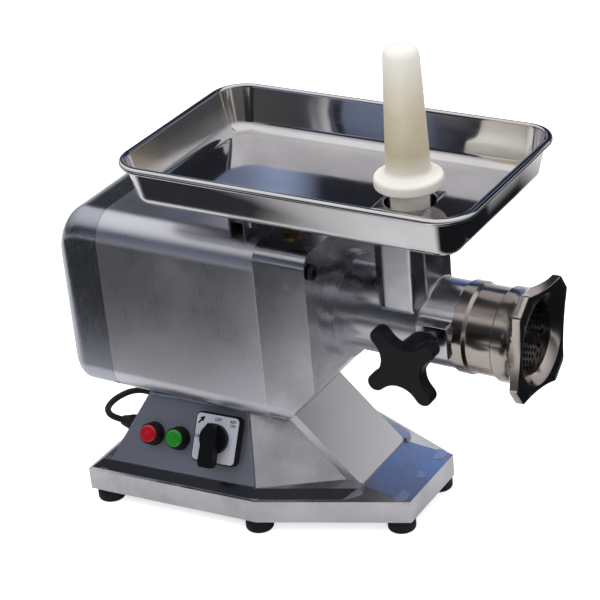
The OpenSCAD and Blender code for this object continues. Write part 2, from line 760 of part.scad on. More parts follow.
module button(u) on_panel(u, btn_v) union() {
  translate([0, 0, 5]) cylinder(h = boot_h - 4, r = lens_r);
  translate([0, 0, boot_h + 0.9]) rotate_extrude()
    polygon([[0, 0], [lens_r, 0], [lens_r - 0.8, 1.2], [5, 1.8], [0, 2]]);
  translate([0, 0, button_travel - 9.8]) cylinder(h = 20 - button_travel, r = 4);
}

module stop_button() color("crimson") button(btn_u[0]);

module start_button() color("limegreen") button(btn_u[1]);

module button_blocks() color("dimgray") for (u = btn_u) on_panel(u, btn_v)
  translate([-12, -15, -32 - seat_gap]) cube([24, 30, 22]);

module switch_surround() color("black") on_panel(sw_u, sw_v)
  translate([0, 0, 2]) linear_extrude(9) difference() {
    round_rect(plate_side + 3, plate_side + 3, 6);
    circle(r = 6.2);
  }

module switch_plate() color("lightgray") on_panel(sw_u, sw_v)
  translate([0, 0, 11]) linear_extrude(1.2) difference() {
    round_rect(plate_side, plate_side, 4.5);
    circle(r = 6.2);
  }

module switch_body() color("dimgray") on_panel(sw_u, sw_v) difference() {
  translate([-16.5, -16.5, -36]) cube([33, 33, 38]);
  translate([0, 0, -20]) cylinder(h = 30, r = 4 + run);
}

module selector_shaft() color("silver") on_panel(sw_u, sw_v)
  translate([0, 0, -18]) cylinder(h = 33, r = 4);

module selector_knob() color("black") on_panel(sw_u, sw_v) difference() {
  union() {
    translate([0, 0, 12.6]) cylinder(h = 6, r = 15.3);
    translate([0, 0, 18]) linear_extrude(11)
      polygon([[-3, bar_l - 29], [3, bar_l - 29], [8, 7], [8.2, -25], [6, -29], [-6, -29],
               [-8.2, -25], [-8, 7]]);
  }
  translate([0, 0, 12]) cylinder(h = 3.05, r = 4);
}

// ---------- cord ----------
module cord_gland() color("black") translate([-188, -66, 67]) rotate([0, -90, 0]) difference() {
  union() {
    translate([0, 0, -9]) cylinder(h = 12, r = 6);
    translate([0, 0, 1]) cylinder(h = 7, r = 10, $fn = 6);
    translate([0, 0, 8]) cylinder(h = 12, r1 = 8.5, r2 = 5.2);
  }
  translate([0, 0, -10]) cylinder(h = 40, r = 3.6);
}

// bar between two points with a rounded joint at b
module seg(a, b, r) {
  d = b - a;
  l = norm(d);
  translate(a) rotate([0, acos(d[2] / l), atan2(d[1], d[0])]) cylinder(h = l, r = r, $fn = 12);
  translate(b) sphere(r = r, $fn = 12);
}

module route(path) for (i = [1 : len(path) - 1]) seg(path[i - 1], path[i], cord_r);

cord_r = 3.4;
coil_at = [-145, 178];
// first and last turn of the coil, and its two layers
coil_r0 = 49.2;
coil_r1 = 32.2;
plug_r = 13.5;
plug_at = [-226, 204, plug_r];
lead_path = [[-202, -66, 67], [-222, -64.5, 67.4], [-234, -57, 67.6], [-240.5, -44, 66.8], [-244.5, -24, 63.5],
             [-247, 2, 56], [-247.5, 26, 44], [-247, 46, 28], [-246, 60, 14], [-245, 74, 6],
             [-243, 88, cord_r], [-237, 106, cord_r], [-221, 125, cord_r], [-196, 130, cord_r],
             [coil_at[0] - 18.5, coil_at[1] - coil_r0, cord_r]];
tail_path = [[coil_at[0] - 18.5, coil_at[1] + coil_r0, 3 * cord_r], [-180, 228.5, 10.4], [-200, 228, 10.8],
             [-214, 224, 11.8], [-223, 216, 12.9], [-226, 207, 13.5], plug_at + [0, 0.7, 0]];

module power_cord() color("black") {
  route(lead_path);
  route(tail_path);
}

// outer shape of the stored turns
module cord_coil() color("black") translate([coil_at[0], coil_at[1], 0]) rotate_extrude()
  translate([coil_r1 - cord_r, 0]) square([coil_r0 - coil_r1 + 2 * cord_r, 4 * cord_r]);

module power_plug() color("black") translate(plug_at) rotate([90, 0, 0]) {
  translate([0, 0, -0.1]) cylinder(h = 18.1, r1 = 5.5, r2 = 10.5);
  translate([0, 0, 17]) cylinder(h = 29, r = plug_r);
  for (sx = [-1, 1]) translate([sx * 9.5, 0, 45]) cylinder(h = 20, r = 2.4);
}

base_casting();
front_cover();
control_panel();
bottom_cover();
bottom_screws();
rubber_feet();
foot_screws();
motor_shell();
rear_cover();
gear_casting();
casting_screws();
oil_plug();
pan_bracket();
bracket_bolts();
stator_core();
windings();
rotor();
motor_shaft();
cooling_fan();
motor_bearings();
motor_spider();
motor_pinion();
run_capacitor();
lay_shaft();
lay_gear_big();
lay_gear_small();
lay_bearings();
output_shaft();
output_gear();
output_bearings();
shaft_seal();
head_body();
nose_sleeve();
auger_core();
auger_flight();
cross_knife();
hole_plate();
key_pin();
ring_nut();
clamp_screw();
clamp_knob();
pan();
pusher();
button_boots();
stop_button();
start_button();
button_blocks();
switch_surround();
switch_plate();
switch_body();
selector_knob();
selector_shaft();
cord_gland();
power_cord();
cord_coil();
power_plug();
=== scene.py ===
"""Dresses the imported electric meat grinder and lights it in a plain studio.

Each sub-assembly of the machine is a class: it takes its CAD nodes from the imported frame, softens their
edges or builds a finer piece in their place, and gives every piece a procedural finish. Units are metres.
X runs forward to the ring nut, Y to the side away from the controls and Z up.
"""

from __future__ import annotations

import json
import logging
import math
from dataclasses import dataclass, field
from enum import Enum
from typing import Iterable, Sequence

import bmesh
import bpy
from mathutils import Matrix, Vector

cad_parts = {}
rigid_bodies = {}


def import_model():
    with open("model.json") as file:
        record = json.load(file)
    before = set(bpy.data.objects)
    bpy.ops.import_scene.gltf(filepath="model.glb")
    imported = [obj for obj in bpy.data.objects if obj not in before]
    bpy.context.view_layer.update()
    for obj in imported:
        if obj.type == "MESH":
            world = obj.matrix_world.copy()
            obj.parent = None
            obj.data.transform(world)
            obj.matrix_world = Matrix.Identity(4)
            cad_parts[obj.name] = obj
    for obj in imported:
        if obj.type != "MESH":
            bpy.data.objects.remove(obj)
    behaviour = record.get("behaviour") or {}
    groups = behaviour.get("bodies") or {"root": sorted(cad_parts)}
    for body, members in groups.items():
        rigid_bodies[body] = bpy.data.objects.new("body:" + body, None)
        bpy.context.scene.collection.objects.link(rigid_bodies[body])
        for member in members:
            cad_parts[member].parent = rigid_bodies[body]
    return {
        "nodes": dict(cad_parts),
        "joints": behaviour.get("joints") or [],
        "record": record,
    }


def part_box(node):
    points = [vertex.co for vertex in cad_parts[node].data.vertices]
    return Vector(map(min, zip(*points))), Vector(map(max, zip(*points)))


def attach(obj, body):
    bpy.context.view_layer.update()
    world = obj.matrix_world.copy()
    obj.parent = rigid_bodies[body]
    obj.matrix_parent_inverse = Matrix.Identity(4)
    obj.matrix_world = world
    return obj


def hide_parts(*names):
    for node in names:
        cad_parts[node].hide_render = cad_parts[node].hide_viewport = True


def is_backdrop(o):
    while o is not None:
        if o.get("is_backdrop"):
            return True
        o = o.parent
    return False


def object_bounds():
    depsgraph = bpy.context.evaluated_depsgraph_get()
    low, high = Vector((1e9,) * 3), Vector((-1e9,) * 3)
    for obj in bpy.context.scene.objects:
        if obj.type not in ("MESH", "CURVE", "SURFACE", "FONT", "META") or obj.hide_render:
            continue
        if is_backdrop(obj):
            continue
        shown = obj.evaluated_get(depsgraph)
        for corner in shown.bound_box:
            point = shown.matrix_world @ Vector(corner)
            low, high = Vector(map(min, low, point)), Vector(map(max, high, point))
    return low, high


log = logging.getLogger("meat_grinder")
MM = 0.001
MERGE_GAP = 0.00001
WELD_GAP = 0.000005
UNIT = (0.0, 1.0)
FALLING = (1.0, 0.0)
Color = tuple[float, float, float, float]
Point = tuple[float, float, float]
Profile = Sequence[tuple[float, float]]
Socket = bpy.types.NodeSocket


class Grain(Enum):
    """Direction that a brushed surface was rubbed in, as the stretch of its pattern on X, Y and Z."""

    ALONG_X = (0.03, 1.0, 1.0)
    ALONG_Y = (1.0, 0.03, 1.0)
    ALONG_Z = (1.0, 1.0, 0.03)
    NONE = (1.0, 1.0, 1.0)


def srgb(red: float, green: float, blue: float) -> Color:
    """Turns a screen colour of 0 to 255 into a linear one with an alpha of 1."""
    linear = [c / 255 / 12.92 if c <= 10 else ((c / 255 + 0.055) / 1.055) ** 2.4 for c in (red, green, blue)]
    return (linear[0], linear[1], linear[2], 1.0)


def dimmed(color: Color, share: float) -> Color:
    """Gives a colour times a share, with an alpha of 1."""
    return (color[0] * share, color[1] * share, color[2] * share, 1.0)


def placed(name: str, data: bpy.types.ID) -> bpy.types.Object:
    """Adds an object with the given data to the scene."""
    thing = bpy.data.objects.new(name, data)
    bpy.context.scene.collection.objects.link(thing)
    return thing


# ---------------------------------------------------------------- finishes


class NodeSheet:
    """A node tree with a short call that adds a node and links it."""

    tree: bpy.types.NodeTree

    def add(self, kind: str, links: dict[str, object] | None = None, **settings: object) -> bpy.types.Node:
        """Adds a node.

        Args:
            kind: Blender's type name of the node.
            links: Input names or numbers with the socket or the value that each gets.
            **settings: Properties of the node.

        Returns:
            The new node.
        """
        node = self.tree.nodes.new(kind)
        for key, value in settings.items():
            setattr(node, key, value)
        for key, value in (links or {}).items():
            socket = node.inputs[int(key) if key.isdigit() else key]
            if isinstance(value, bpy.types.NodeSocket):
                self.tree.links.new(value, socket)
            else:
                socket.default_value = value
        return node

    def math(self, operation: str, one: object, two: object = 0.0) -> Socket:
        """Adds a sum of two values, named as Blender names it."""
        return self.add("ShaderNodeMath", {"0": one, "1": two}, operation=operation).outputs[0]

    def split(self, vector: Socket) -> Sequence[Socket]:
        """Adds a node that gives X, Y and Z of a vector."""
        return self.add("ShaderNodeSeparateXYZ", {"0": vector}).outputs


class ShaderSheet(NodeSheet):
    """Node tree of one material, with short calls for the nodes that the finishes share."""

    def __init__(self, name: str) -> None:
        """Makes an empty material of this name with a Principled shader."""
        self.material = bpy.data.materials.new(name)
        self.material.use_nodes = True
        self.tree = self.material.node_tree
        self.shader = self.tree.nodes["Principled BSDF"]
        self.place = self.tree.nodes.new("ShaderNodeTexCoord").outputs["Object"]

    def stretched(self, stretch: Sequence[float], turn: float = 0.0) -> Socket:
        """Stretches the object coordinates on X, Y and Z, and turns them about Z."""
        links = {"Vector": self.place, "Scale": tuple(stretch), "Rotation": (0.0, 0.0, turn)}
        return self.add("ShaderNodeMapping", links).outputs[0]

    def noise(
        self, scale: float, detail: float = 3.0, where: Socket | None = None, rough: float = 0.55
    ) -> Socket:
        """Adds noise from 0 to 1, with this many features per metre, at the object's or other coordinates."""
        links = {"Vector": where or self.place, "Scale": scale, "Detail": detail, "Roughness": rough}
        return self.add("ShaderNodeTexNoise", links).outputs["Fac"]

    def band_of(self, value: Socket, low: float, high: float, to: tuple[float, float] = UNIT) -> Socket:
        """Maps a value from low..high to a new range, clamped."""
        links = {"0": value, "1": low, "2": high, "3": to[0], "4": to[1]}
        return self.add("ShaderNodeMapRange", links).outputs[0]

    def spread(self, noise: Socket, to: tuple[float, float] = UNIT) -> Socket:
        """Maps the span that most of a noise lies in to a new range."""
        return self.band_of(noise, 0.3, 0.7, to)

    def mixed(self, factor: Socket, one: object, two: object) -> Socket:
        """Mixes two colours, or their sockets, where a factor of 0 gives the first."""
        return self.add("ShaderNodeMix", {"0": factor, "6": one, "7": two}, data_type="RGBA").outputs[2]

    def bump(
        self, height: Socket, depth: float, strength: float = 1.0, under: Socket | None = None
    ) -> Socket:
        """Bumped normal.

        Args:
            height: Height from 0 to 1.
            depth: Real height of a step from 0 to 1, in metres.
            strength: Share of the effect.
            under: Normal of a coarser bump below it.

        Returns:
            The normal socket.
        """
        links: dict[str, object] = {"Height": height, "Distance": depth, "Strength": strength}
        if under is not None:
            links["Normal"] = under
        return self.add("ShaderNodeBump", links).outputs[0]

    def set(self, **inputs: object) -> bpy.types.Material:
        """Sets or links the shader's inputs, with underscores for the spaces in their names.

        Args:
            **inputs: Values or sockets.

        Returns:
            The material.
        """
        for key, value in inputs.items():
            socket = self.shader.inputs[key.replace("_", " ")]
            if isinstance(value, bpy.types.NodeSocket):
                self.tree.links.new(value, socket)
            else:
                socket.default_value = value
        return self.material


@dataclass(frozen=True)
class BrushedMetal:
    """Metal rubbed in one direction, with faint blotches of handling."""

    name: str
    color: Color
    grain: Grain = Grain.ALONG_X
    roughness: float = 0.32
    contrast: float = 0.12
    lines: float = 2600.0
    depth: float = 0.00002

    def build(self) -> bpy.types.Material:
        """Builds the material and returns it."""
        s = ShaderSheet(self.name)
        lines = s.noise(self.lines, 4.0, s.stretched(self.grain.value), 0.7)
        cloud = s.noise(14.0, 3.0)
        dark = dimmed(self.color, 1 - 2.2 * self.contrast)
        tint = s.mixed(s.spread(lines), dark, self.color)
        handled = s.spread(cloud, (self.roughness - 0.04, self.roughness + 0.05))
        rough = s.math("ADD", s.spread(lines, (-0.06, 0.06)), handled)
        normal = s.bump(lines, self.depth, 0.6)
        return s.set(Base_Color=tint, Metallic=1.0, Roughness=rough, Normal=normal)


@dataclass(frozen=True)
class PolishedSteel:
    """Pressed or turned stainless steel with a near mirror polish, slightly wavy and lightly marked."""

    name: str
    color: Color
    roughness: float = 0.07
    wave: float = 0.0004
    wave_scale: float = 9.0
    marks: float = 0.05

    def build(self) -> bpy.types.Material:
        """Builds the material and returns it."""
        s = ShaderSheet(self.name)
        wave = s.noise(self.wave_scale, 1.0)
        streaks = s.noise(700.0, 3.0, s.stretched(Grain.ALONG_X.value, 0.5), 0.7)
        smudge = s.noise(22.0, 4.0)
        worn = s.band_of(streaks, 0.4, 0.75, (self.roughness, self.roughness + 0.04))
        rough = s.math("ADD", s.band_of(smudge, 0.45, 0.75, (0.0, self.marks)), worn)
        tint = s.mixed(s.band_of(smudge, 0.35, 0.7), self.color, dimmed(self.color, 0.9))
        normal = s.bump(streaks, 0.000004, 0.5, s.bump(wave, self.wave))
        return s.set(Base_Color=tint, Metallic=1.0, Roughness=rough, Normal=normal)


@dataclass(frozen=True)
class CastAluminium:
    """Ground and blasted casting: a fine grain, soft hollows, lighter worn patches and, where a band is
    given, painted shade on a slope.
    """

    name: str
    color: Color
    roughness: float = 0.36
    hollow: float = 0.0005
    grit: float = 0.00005
    # Heights of a band of painted shade, its colour and the slope that it lies on.
    band: tuple[float, float] | None = None
    painted_slope_shade: Color = srgb(44, 46, 51)
    slope: tuple[float, float] = (0.65, 0.87)

    def build(self) -> bpy.types.Material:
        """Builds the material and returns it."""
        s = ShaderSheet(self.name)
        hollow = s.noise(16.0, 2.0)
        grit = s.noise(2400.0, 1.0)
        cloud = s.noise(30.0, 5.0)
        tint = s.mixed(s.spread(cloud), dimmed(self.color, 0.78), self.color)
        rough = s.band_of(cloud, 0.3, 0.75, (self.roughness + 0.07, self.roughness - 0.06))
        normal = s.bump(grit, self.grit, 0.5, s.bump(hollow, self.hollow))
        # Painted shade: darkens the slope between the band's heights.
        if self.band:
            tint = s.mixed(self.slope_shade_mask(s), tint, self.painted_slope_shade)
        return s.set(Base_Color=tint, Metallic=1.0, Roughness=rough, Normal=normal)

    def slope_shade_mask(self, s: ShaderSheet) -> Socket:
        """Painted shade: a dark band on the slope between two heights.

        Args:
            s: The material's sheet.

        Returns:
            1 on the slope and 0 elsewhere.
        """
        low, high = self.band
        flat, steep = self.slope
        edge, soft = 0.001, 0.03
        height = s.split(s.place)[2]
        lean = s.split(s.add("ShaderNodeNewGeometry").outputs["True Normal"])[2]
        above = s.band_of(height, low, low + edge)
        below = s.band_of(height, high, high + edge, FALLING)
        over = s.band_of(lean, flat - soft, flat + soft)
        under = s.band_of(lean, steep - soft, steep + soft, FALLING)
        return s.math("MULTIPLY", s.math("MULTIPLY", s.math("MULTIPLY", above, below), over), under)


@dataclass(frozen=True)
class Moulded:
    """Moulded plastic or rubber with a fine skin, a light variation of colour and, where a glow is given,
    painted light from emission.
    """

    name: str
    color: Color
    roughness: float = 0.35
    skin: float = 0.00004
    skin_scale: float = 900.0
    shift: float = 0.15
    glow: float = 0.0
    coat: float = 0.0
    shine: float = 0.5

    def build(self) -> bpy.types.Material:
        """Builds the material and returns it."""
        s = ShaderSheet(self.name)
        cloud = s.noise(35.0, 3.0)
        skin = s.noise(self.skin_scale, 2.0)
        tint = s.mixed(s.spread(cloud), self.color, dimmed(self.color, 1 - self.shift))
        rough = s.band_of(cloud, 0.3, 0.75, (self.roughness - 0.04, self.roughness + 0.08))
        material = s.set(Base_Color=tint, Roughness=rough, Normal=s.bump(skin, self.skin, 0.5))
        s.set(Coat_Weight=self.coat, Specular_IOR_Level=self.shine)
        # Painted glow: emission that makes the part look lit, though it is no lamp.
        if self.glow:
            s.set(Emission_Color=self.color, Emission_Strength=self.glow)
        return material


@dataclass(frozen=True)
class IvoryWithPaintedShade:
    """Dense ivory plastic with painted shade: darker and yellower over a stretch of its height, and pale at
    both ends.
    """

    name: str
    pale: Color
    painted_shade_tint: Color
    low: float
    high: float
    fade_in: float = 0.022
    fade_out: float = 0.05

    def build(self) -> bpy.types.Material:
        """Builds the material and returns it."""
        s = ShaderSheet(self.name)
        height = s.split(s.place)[2]
        blotch = s.noise(26.0, 3.0)
        # Painted shade: the middle of the height is darker and yellower than the ends.
        up = s.band_of(height, self.low, self.low + self.fade_in)
        down = s.band_of(height, self.high - self.fade_out, self.high, FALLING)
        painted_shade_span = s.math("MULTIPLY", up, down)
        share = s.math("MULTIPLY", painted_shade_span, s.spread(blotch, (0.7, 1.0)))
        tint = s.mixed(share, self.pale, self.painted_shade_tint)
        skin = s.bump(s.noise(500.0, 2.0), 0.00003, 0.5)
        rough = s.band_of(blotch, 0.3, 0.75, (0.34, 0.46))
        s.set(Base_Color=tint, Roughness=rough, Normal=skin)
        return s.set(Subsurface_Weight=0.3, Subsurface_Scale=0.006, Subsurface_Radius=(1.0, 0.8, 0.5))


Finish = BrushedMetal | PolishedSteel | CastAluminium | Moulded | IvoryWithPaintedShade


class Palette:
    """The finishes of the machine, each built once when it is first asked for."""

    shell = BrushedMetal("brushed_shell", srgb(212, 212, 219), Grain.ALONG_Z, 0.33, 0.05, 1500.0)
    rear = BrushedMetal("polished_rear", srgb(178, 181, 190), Grain.ALONG_Z, 0.24, 0.06, 1500.0)
    casting = CastAluminium("ground_casting", srgb(196, 196, 202), 0.25, 0.0003, 0.000004)
    # The base's band paints shade on the slope of its skirt.
    base = CastAluminium("polished_base", srgb(206, 204, 208), 0.24, 0.00015, 0.000003, (0.0374, 0.0462))
    head = CastAluminium("head_casting", srgb(200, 200, 206), 0.22, 0.0003, 0.000004)
    cover = BrushedMetal("satin_cover", srgb(230, 227, 227), Grain.ALONG_Y, 0.4, 0.03, 1500.0)
    panel = BrushedMetal("control_panel_metal", srgb(174, 176, 190), Grain.ALONG_X, 0.5, 0.05, 1500.0)
    sheet = BrushedMetal("bent_sheet", srgb(150, 151, 156), Grain.ALONG_Y, 0.35)
    machined = BrushedMetal("machined_steel", srgb(164, 162, 162), Grain.NONE, 0.3)
    plate = BrushedMetal("plate_steel", srgb(92, 91, 92), Grain.NONE, 0.36, 0.1)
    pan = PolishedSteel("pan_steel", srgb(214, 212, 213), 0.06, 0.0007)
    turned = PolishedSteel("turned_steel", srgb(186, 177, 170), 0.17, 0.00004, 14.0)
    rubber = Moulded("black_rubber", srgb(17, 18, 20), 0.6, 0.00008, 700.0, 0.3, shine=0.25)
    bakelite = Moulded("black_bakelite", srgb(10, 13, 16), 0.42, 0.00002, 300.0, 0.3, shine=0.2)
    black_steel = Moulded("blackened_steel", srgb(20, 20, 22), 0.4, shine=0.3)
    ivory = IvoryWithPaintedShade("ivory_plastic", srgb(240, 237, 228), srgb(214, 201, 168), 0.379, 0.49)
    # The lenses get a painted glow, though no lamp lights them.
    red = Moulded("red_lens", srgb(158, 8, 24), 0.22, 0.00001, 200.0, 0.3, glow=0.05, coat=0.3)
    green = Moulded("green_lens", srgb(26, 128, 30), 0.22, 0.00001, 200.0, 0.3, glow=0.05, coat=0.3)
    label = Moulded("switch_face", srgb(178, 179, 190), 0.3, 0.00001, 900.0, 0.03)
    ink = Moulded("mark_ink", srgb(14, 15, 19), 0.5, shine=0.1)
    brass = PolishedSteel("oil_brass", srgb(196, 160, 96), 0.25)
    copper = BrushedMetal("winding_wire", srgb(170, 96, 56), Grain.NONE, 0.35)
    casing = Moulded("capacitor_case", srgb(214, 214, 210), 0.5)
    _built: dict[str, bpy.types.Material] = {}

    @classmethod
    def material(cls, finish: Finish) -> bpy.types.Material:
        """Gives the material of a finish, built once."""
        if finish.name not in cls._built:
            cls._built[finish.name] = finish.build()
        return cls._built[finish.name]


# ---------------------------------------------------------------- making pieces


class Frame:
    """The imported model, and the calls that turn its nodes or new meshes into finished pieces."""

    def __init__(self) -> None:
        """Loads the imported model."""
        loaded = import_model()
        self.nodes: dict[str, bpy.types.Object] = loaded["nodes"]
        self.record: dict = loaded["record"]
        self.joints: dict[str, dict] = {j["name"]: j for j in loaded["joints"]}
        self.cad_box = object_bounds()
        self.body_of: dict[str, str] = {
            node: body for body, nodes in self.record["behaviour"]["bodies"].items() for node in nodes
        }
        self.slot_of: dict[str, str] = {s["node"]: s["material_slot"] for s in self.record["subparts"]}

    def dress(self, nodes: Iterable[str], finish: Finish) -> None:
        """Gives a finish to CAD nodes that keep their shapes."""
        for node in nodes:
            mesh = self.nodes[node].data
            mesh.materials.clear()
            mesh.materials.append(Palette.material(finish))
            log.info("node %s: %s", node, finish.name)

    def settle(
        self, mesh: bpy.types.Mesh, name: str, finish: Finish, nodes: Sequence[str], smooth: float = 32.0
    ) -> bpy.types.Object:
        """Makes a mesh a finished piece of the body and slot of the nodes that it stands for.

        Args:
            mesh: The mesh, in the row frame.
            name: Name of the piece.
            finish: Its finish.
            nodes: Nodes that it replaces, or, with a leading "+", a node that it is added to.
            smooth: Faces that meet at less than this many degrees look smooth, or 0 to keep the normals.

        Returns:
            The piece.
        """
        piece = placed(name, mesh)
        mesh.materials.clear()
        mesh.materials.append(Palette.material(finish))
        for polygon in mesh.polygons:
            polygon.material_index = 0
        smooth_faces(mesh, smooth)
        first = nodes[0].lstrip("+")
        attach(piece, self.body_of[first])
        stood_for = [n for n in nodes if not n.startswith("+")]
        if stood_for:
            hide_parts(*stood_for)
        log.info("piece %s on %s: %d faces", name, self.body_of[first], len(mesh.polygons))
        return piece

    def softened(
        self, node: str, finish: Finish, width: float, steps: int = 2, angle: float = 32.0, flat: float = 1.0
    ) -> bpy.types.Object:
        """Replaces a node by a merged copy with rounded edges.

        Args:
            node: The node.
            finish: Its finish.
            width: Width of the rounding in millimetres.
            steps: Faces across the rounding.
            angle: Edges sharper than this many degrees are rounded.
            flat: Faces that meet at less than this many degrees become one.

        Returns:
            The piece.
        """
        mesh = merged_copy(self.nodes[node].data, flat)
        smooth_faces(mesh)
        if width > 0:
            bevel = {"width": width * MM, "segments": steps, "limit_method": "ANGLE",
                     "angle_limit": math.radians(angle), "miter_outer": "MITER_ARC"}
            mesh = with_modifiers(mesh, [("BEVEL", bevel), ("WEIGHTED_NORMAL", {"weight": 100})])
        return self.settle(mesh, f"{node}_finished", finish, [node], 0.0 if width > 0 else 30.0)

    def cast(self, node: str, finish: Finish, grain: float, rounds: int) -> bpy.types.Object:
        """Replaces a node by a copy whose edges and joins are melted round, as on a ground casting.

        Args:
            node: The node.
            finish: Its finish.
            grain: Size of the new faces in millimetres.
            rounds: Rounds of smoothing.

        Returns:
            The piece.
        """
        mesh = with_modifiers(merged_copy(self.nodes[node].data, 0.0), [
            ("REMESH", {"mode": "VOXEL", "voxel_size": grain * MM, "use_smooth_shade": True}),
            ("SMOOTH", {"factor": 0.5, "iterations": rounds})])
        return self.settle(mesh, f"{node}_finished", finish, [node], 0.0)

    def repeated(
        self, node: str, shape: bpy.types.Mesh, spots: Sequence[Vector], finish: Finish, smooth: float = 30.0
    ) -> bpy.types.Object:
        """Replaces a node of like parts by one finer shape, repeated at each place.

        Args:
            node: The node.
            shape: The shape, round the origin.
            spots: Places in metres.
            finish: The finish.
            smooth: Faces that meet at less than this many degrees look smooth.

        Returns:
            The piece.
        """
        points = bpy.data.meshes.new(f"{node}_places")
        points.from_pydata([tuple(p) for p in spots], [], [])
        mesh = ScatterTree(f"{node}_tree").run(points, finish, {"Size": 1.0}, shape)
        return self.settle(mesh, f"{node}_finished", finish, [node], smooth)


def smooth_faces(mesh: bpy.types.Mesh, angle: float = 0.0) -> None:
    """Shades all faces smooth, with sharp edges over this many degrees unless it is 0."""
    for polygon in mesh.polygons:
        polygon.use_smooth = True
    if angle:
        mesh.set_sharp_from_angle(angle=math.radians(angle))


def merged_copy(source: bpy.types.Mesh, flat: float) -> bpy.types.Mesh:
    """Copies a mesh of loose triangles and merges faces that meet at less than this many degrees.

    Args:
        source: The mesh.
        flat: The angle, or 0 to merge no faces.

    Returns:
        The merged copy.
    """
    work = bmesh.new()
    work.from_mesh(source)
    bmesh.ops.remove_doubles(work, verts=work.verts, dist=MERGE_GAP)
    if flat > 0:
        bmesh.ops.dissolve_limit(work, angle_limit=math.radians(flat), verts=work.verts, edges=work.edges)
    mesh = bpy.data.meshes.new(f"{source.name}_merged")
    work.to_mesh(mesh)
    work.free()
    return mesh


def with_modifiers(mesh: bpy.types.Mesh, stack: Sequence[tuple[str, dict[str, object]]]) -> bpy.types.Mesh:
    """Applies modifiers to a mesh.

    Args:
        mesh: The mesh.
        stack: Type and settings of each modifier, in order.

    Returns:
        A plain mesh of the result.
    """
    holder = placed("holder", mesh)
    for kind, settings in stack:
        modifier = holder.modifiers.new(kind.lower(), kind)
        for key, value in settings.items():
            setattr(modifier, key, value)
    result = evaluated_mesh(holder)
    bpy.data.objects.remove(holder)
    return result


def evaluated_mesh(holder: bpy.types.Object) -> bpy.types.Mesh:
    """Gives a new mesh of an object with its modifiers applied."""
    bpy.context.view_layer.update()
    graph = bpy.context.evaluated_depsgraph_get()
    final = holder.evaluated_get(graph)
    return bpy.data.meshes.new_from_object(final, preserve_all_data_layers=True, depsgraph=graph)


class GrowthTree(NodeSheet):
    """Geometry Nodes tree with named inputs that ends in plain geometry with one finish."""

    def __init__(self, name: str, sizes: dict[str, float], with_piece: bool = False) -> None:
        """Makes the tree's inputs and output.

        Args:
            name: Name of the tree.
            sizes: Names of its sizes and their defaults.
            with_piece: True adds an input for the shape that is repeated.
        """
        self.tree = bpy.data.node_groups.new(name, "GeometryNodeTree")
        sockets = self.tree.interface
        sockets.new_socket("Geometry", in_out="OUTPUT", socket_type="NodeSocketGeometry")
        sockets.new_socket("Geometry", in_out="INPUT", socket_type="NodeSocketGeometry")
        for key, value in sizes.items():
            sockets.new_socket(key, in_out="INPUT", socket_type="NodeSocketFloat").default_value = value
        sockets.new_socket("Finish", in_out="INPUT", socket_type="NodeSocketMaterial")
        if with_piece:
            sockets.new_socket("Piece", in_out="INPUT", socket_type="NodeSocketObject")
        self.entry = self.tree.nodes.new("NodeGroupInput").outputs
        self.exit = self.tree.nodes.new("NodeGroupOutput").inputs[0]

    def close(self, geometry: Socket) -> None:
        """Makes the geometry real, gives it the finish and hands it out."""
        real = self.add("GeometryNodeRealizeInstances", {"Geometry": geometry}).outputs[0]
        dressed = self.add("GeometryNodeSetMaterial", {"Geometry": real, "Material": self.entry["Finish"]})
        self.tree.links.new(dressed.outputs[0], self.exit)

    def run(
        self, start: bpy.types.Mesh, finish: Finish, sizes: dict[str, float],
        shape: bpy.types.Mesh | None = None,
    ) -> bpy.types.Mesh:
        """Runs the tree on a mesh.

        Args:
            start: The mesh that it starts from.
            finish: The finish.
            sizes: Value of each named size.
            shape: The shape that is repeated, if there is one.

        Returns:
            A plain mesh of the result.
        """
        holder = placed("holder", start)
        values: dict[str, object] = {**sizes, "Finish": Palette.material(finish)}
        if shape:
            values["Piece"] = placed("shape", shape)
        modifier = holder.modifiers.new("growth", "NODES")
        modifier.node_group = self.tree
        for item in self.tree.interface.items_tree:
            if item.in_out == "INPUT" and item.name in values:
                modifier[item.identifier] = values[item.name]
        result = evaluated_mesh(holder)
        for used in (holder, values.get("Piece")):
            if used:
                bpy.data.objects.remove(used)
        return result


class ScatterTree(GrowthTree):
    """Puts one shape at every point of a mesh."""

    def __init__(self, name: str) -> None:
        """Builds the tree under its name."""
        super().__init__(name, {"Size": 1.0}, True)
        entry = self.entry
        shape = self.add("GeometryNodeObjectInfo", {"Object": entry["Piece"]}, transform_space="ORIGINAL")
        self.close(self.add("GeometryNodeInstanceOnPoints", {
            "Points": entry["Geometry"], "Instance": shape.outputs["Geometry"], "Scale": entry["Size"],
        }).outputs[0])


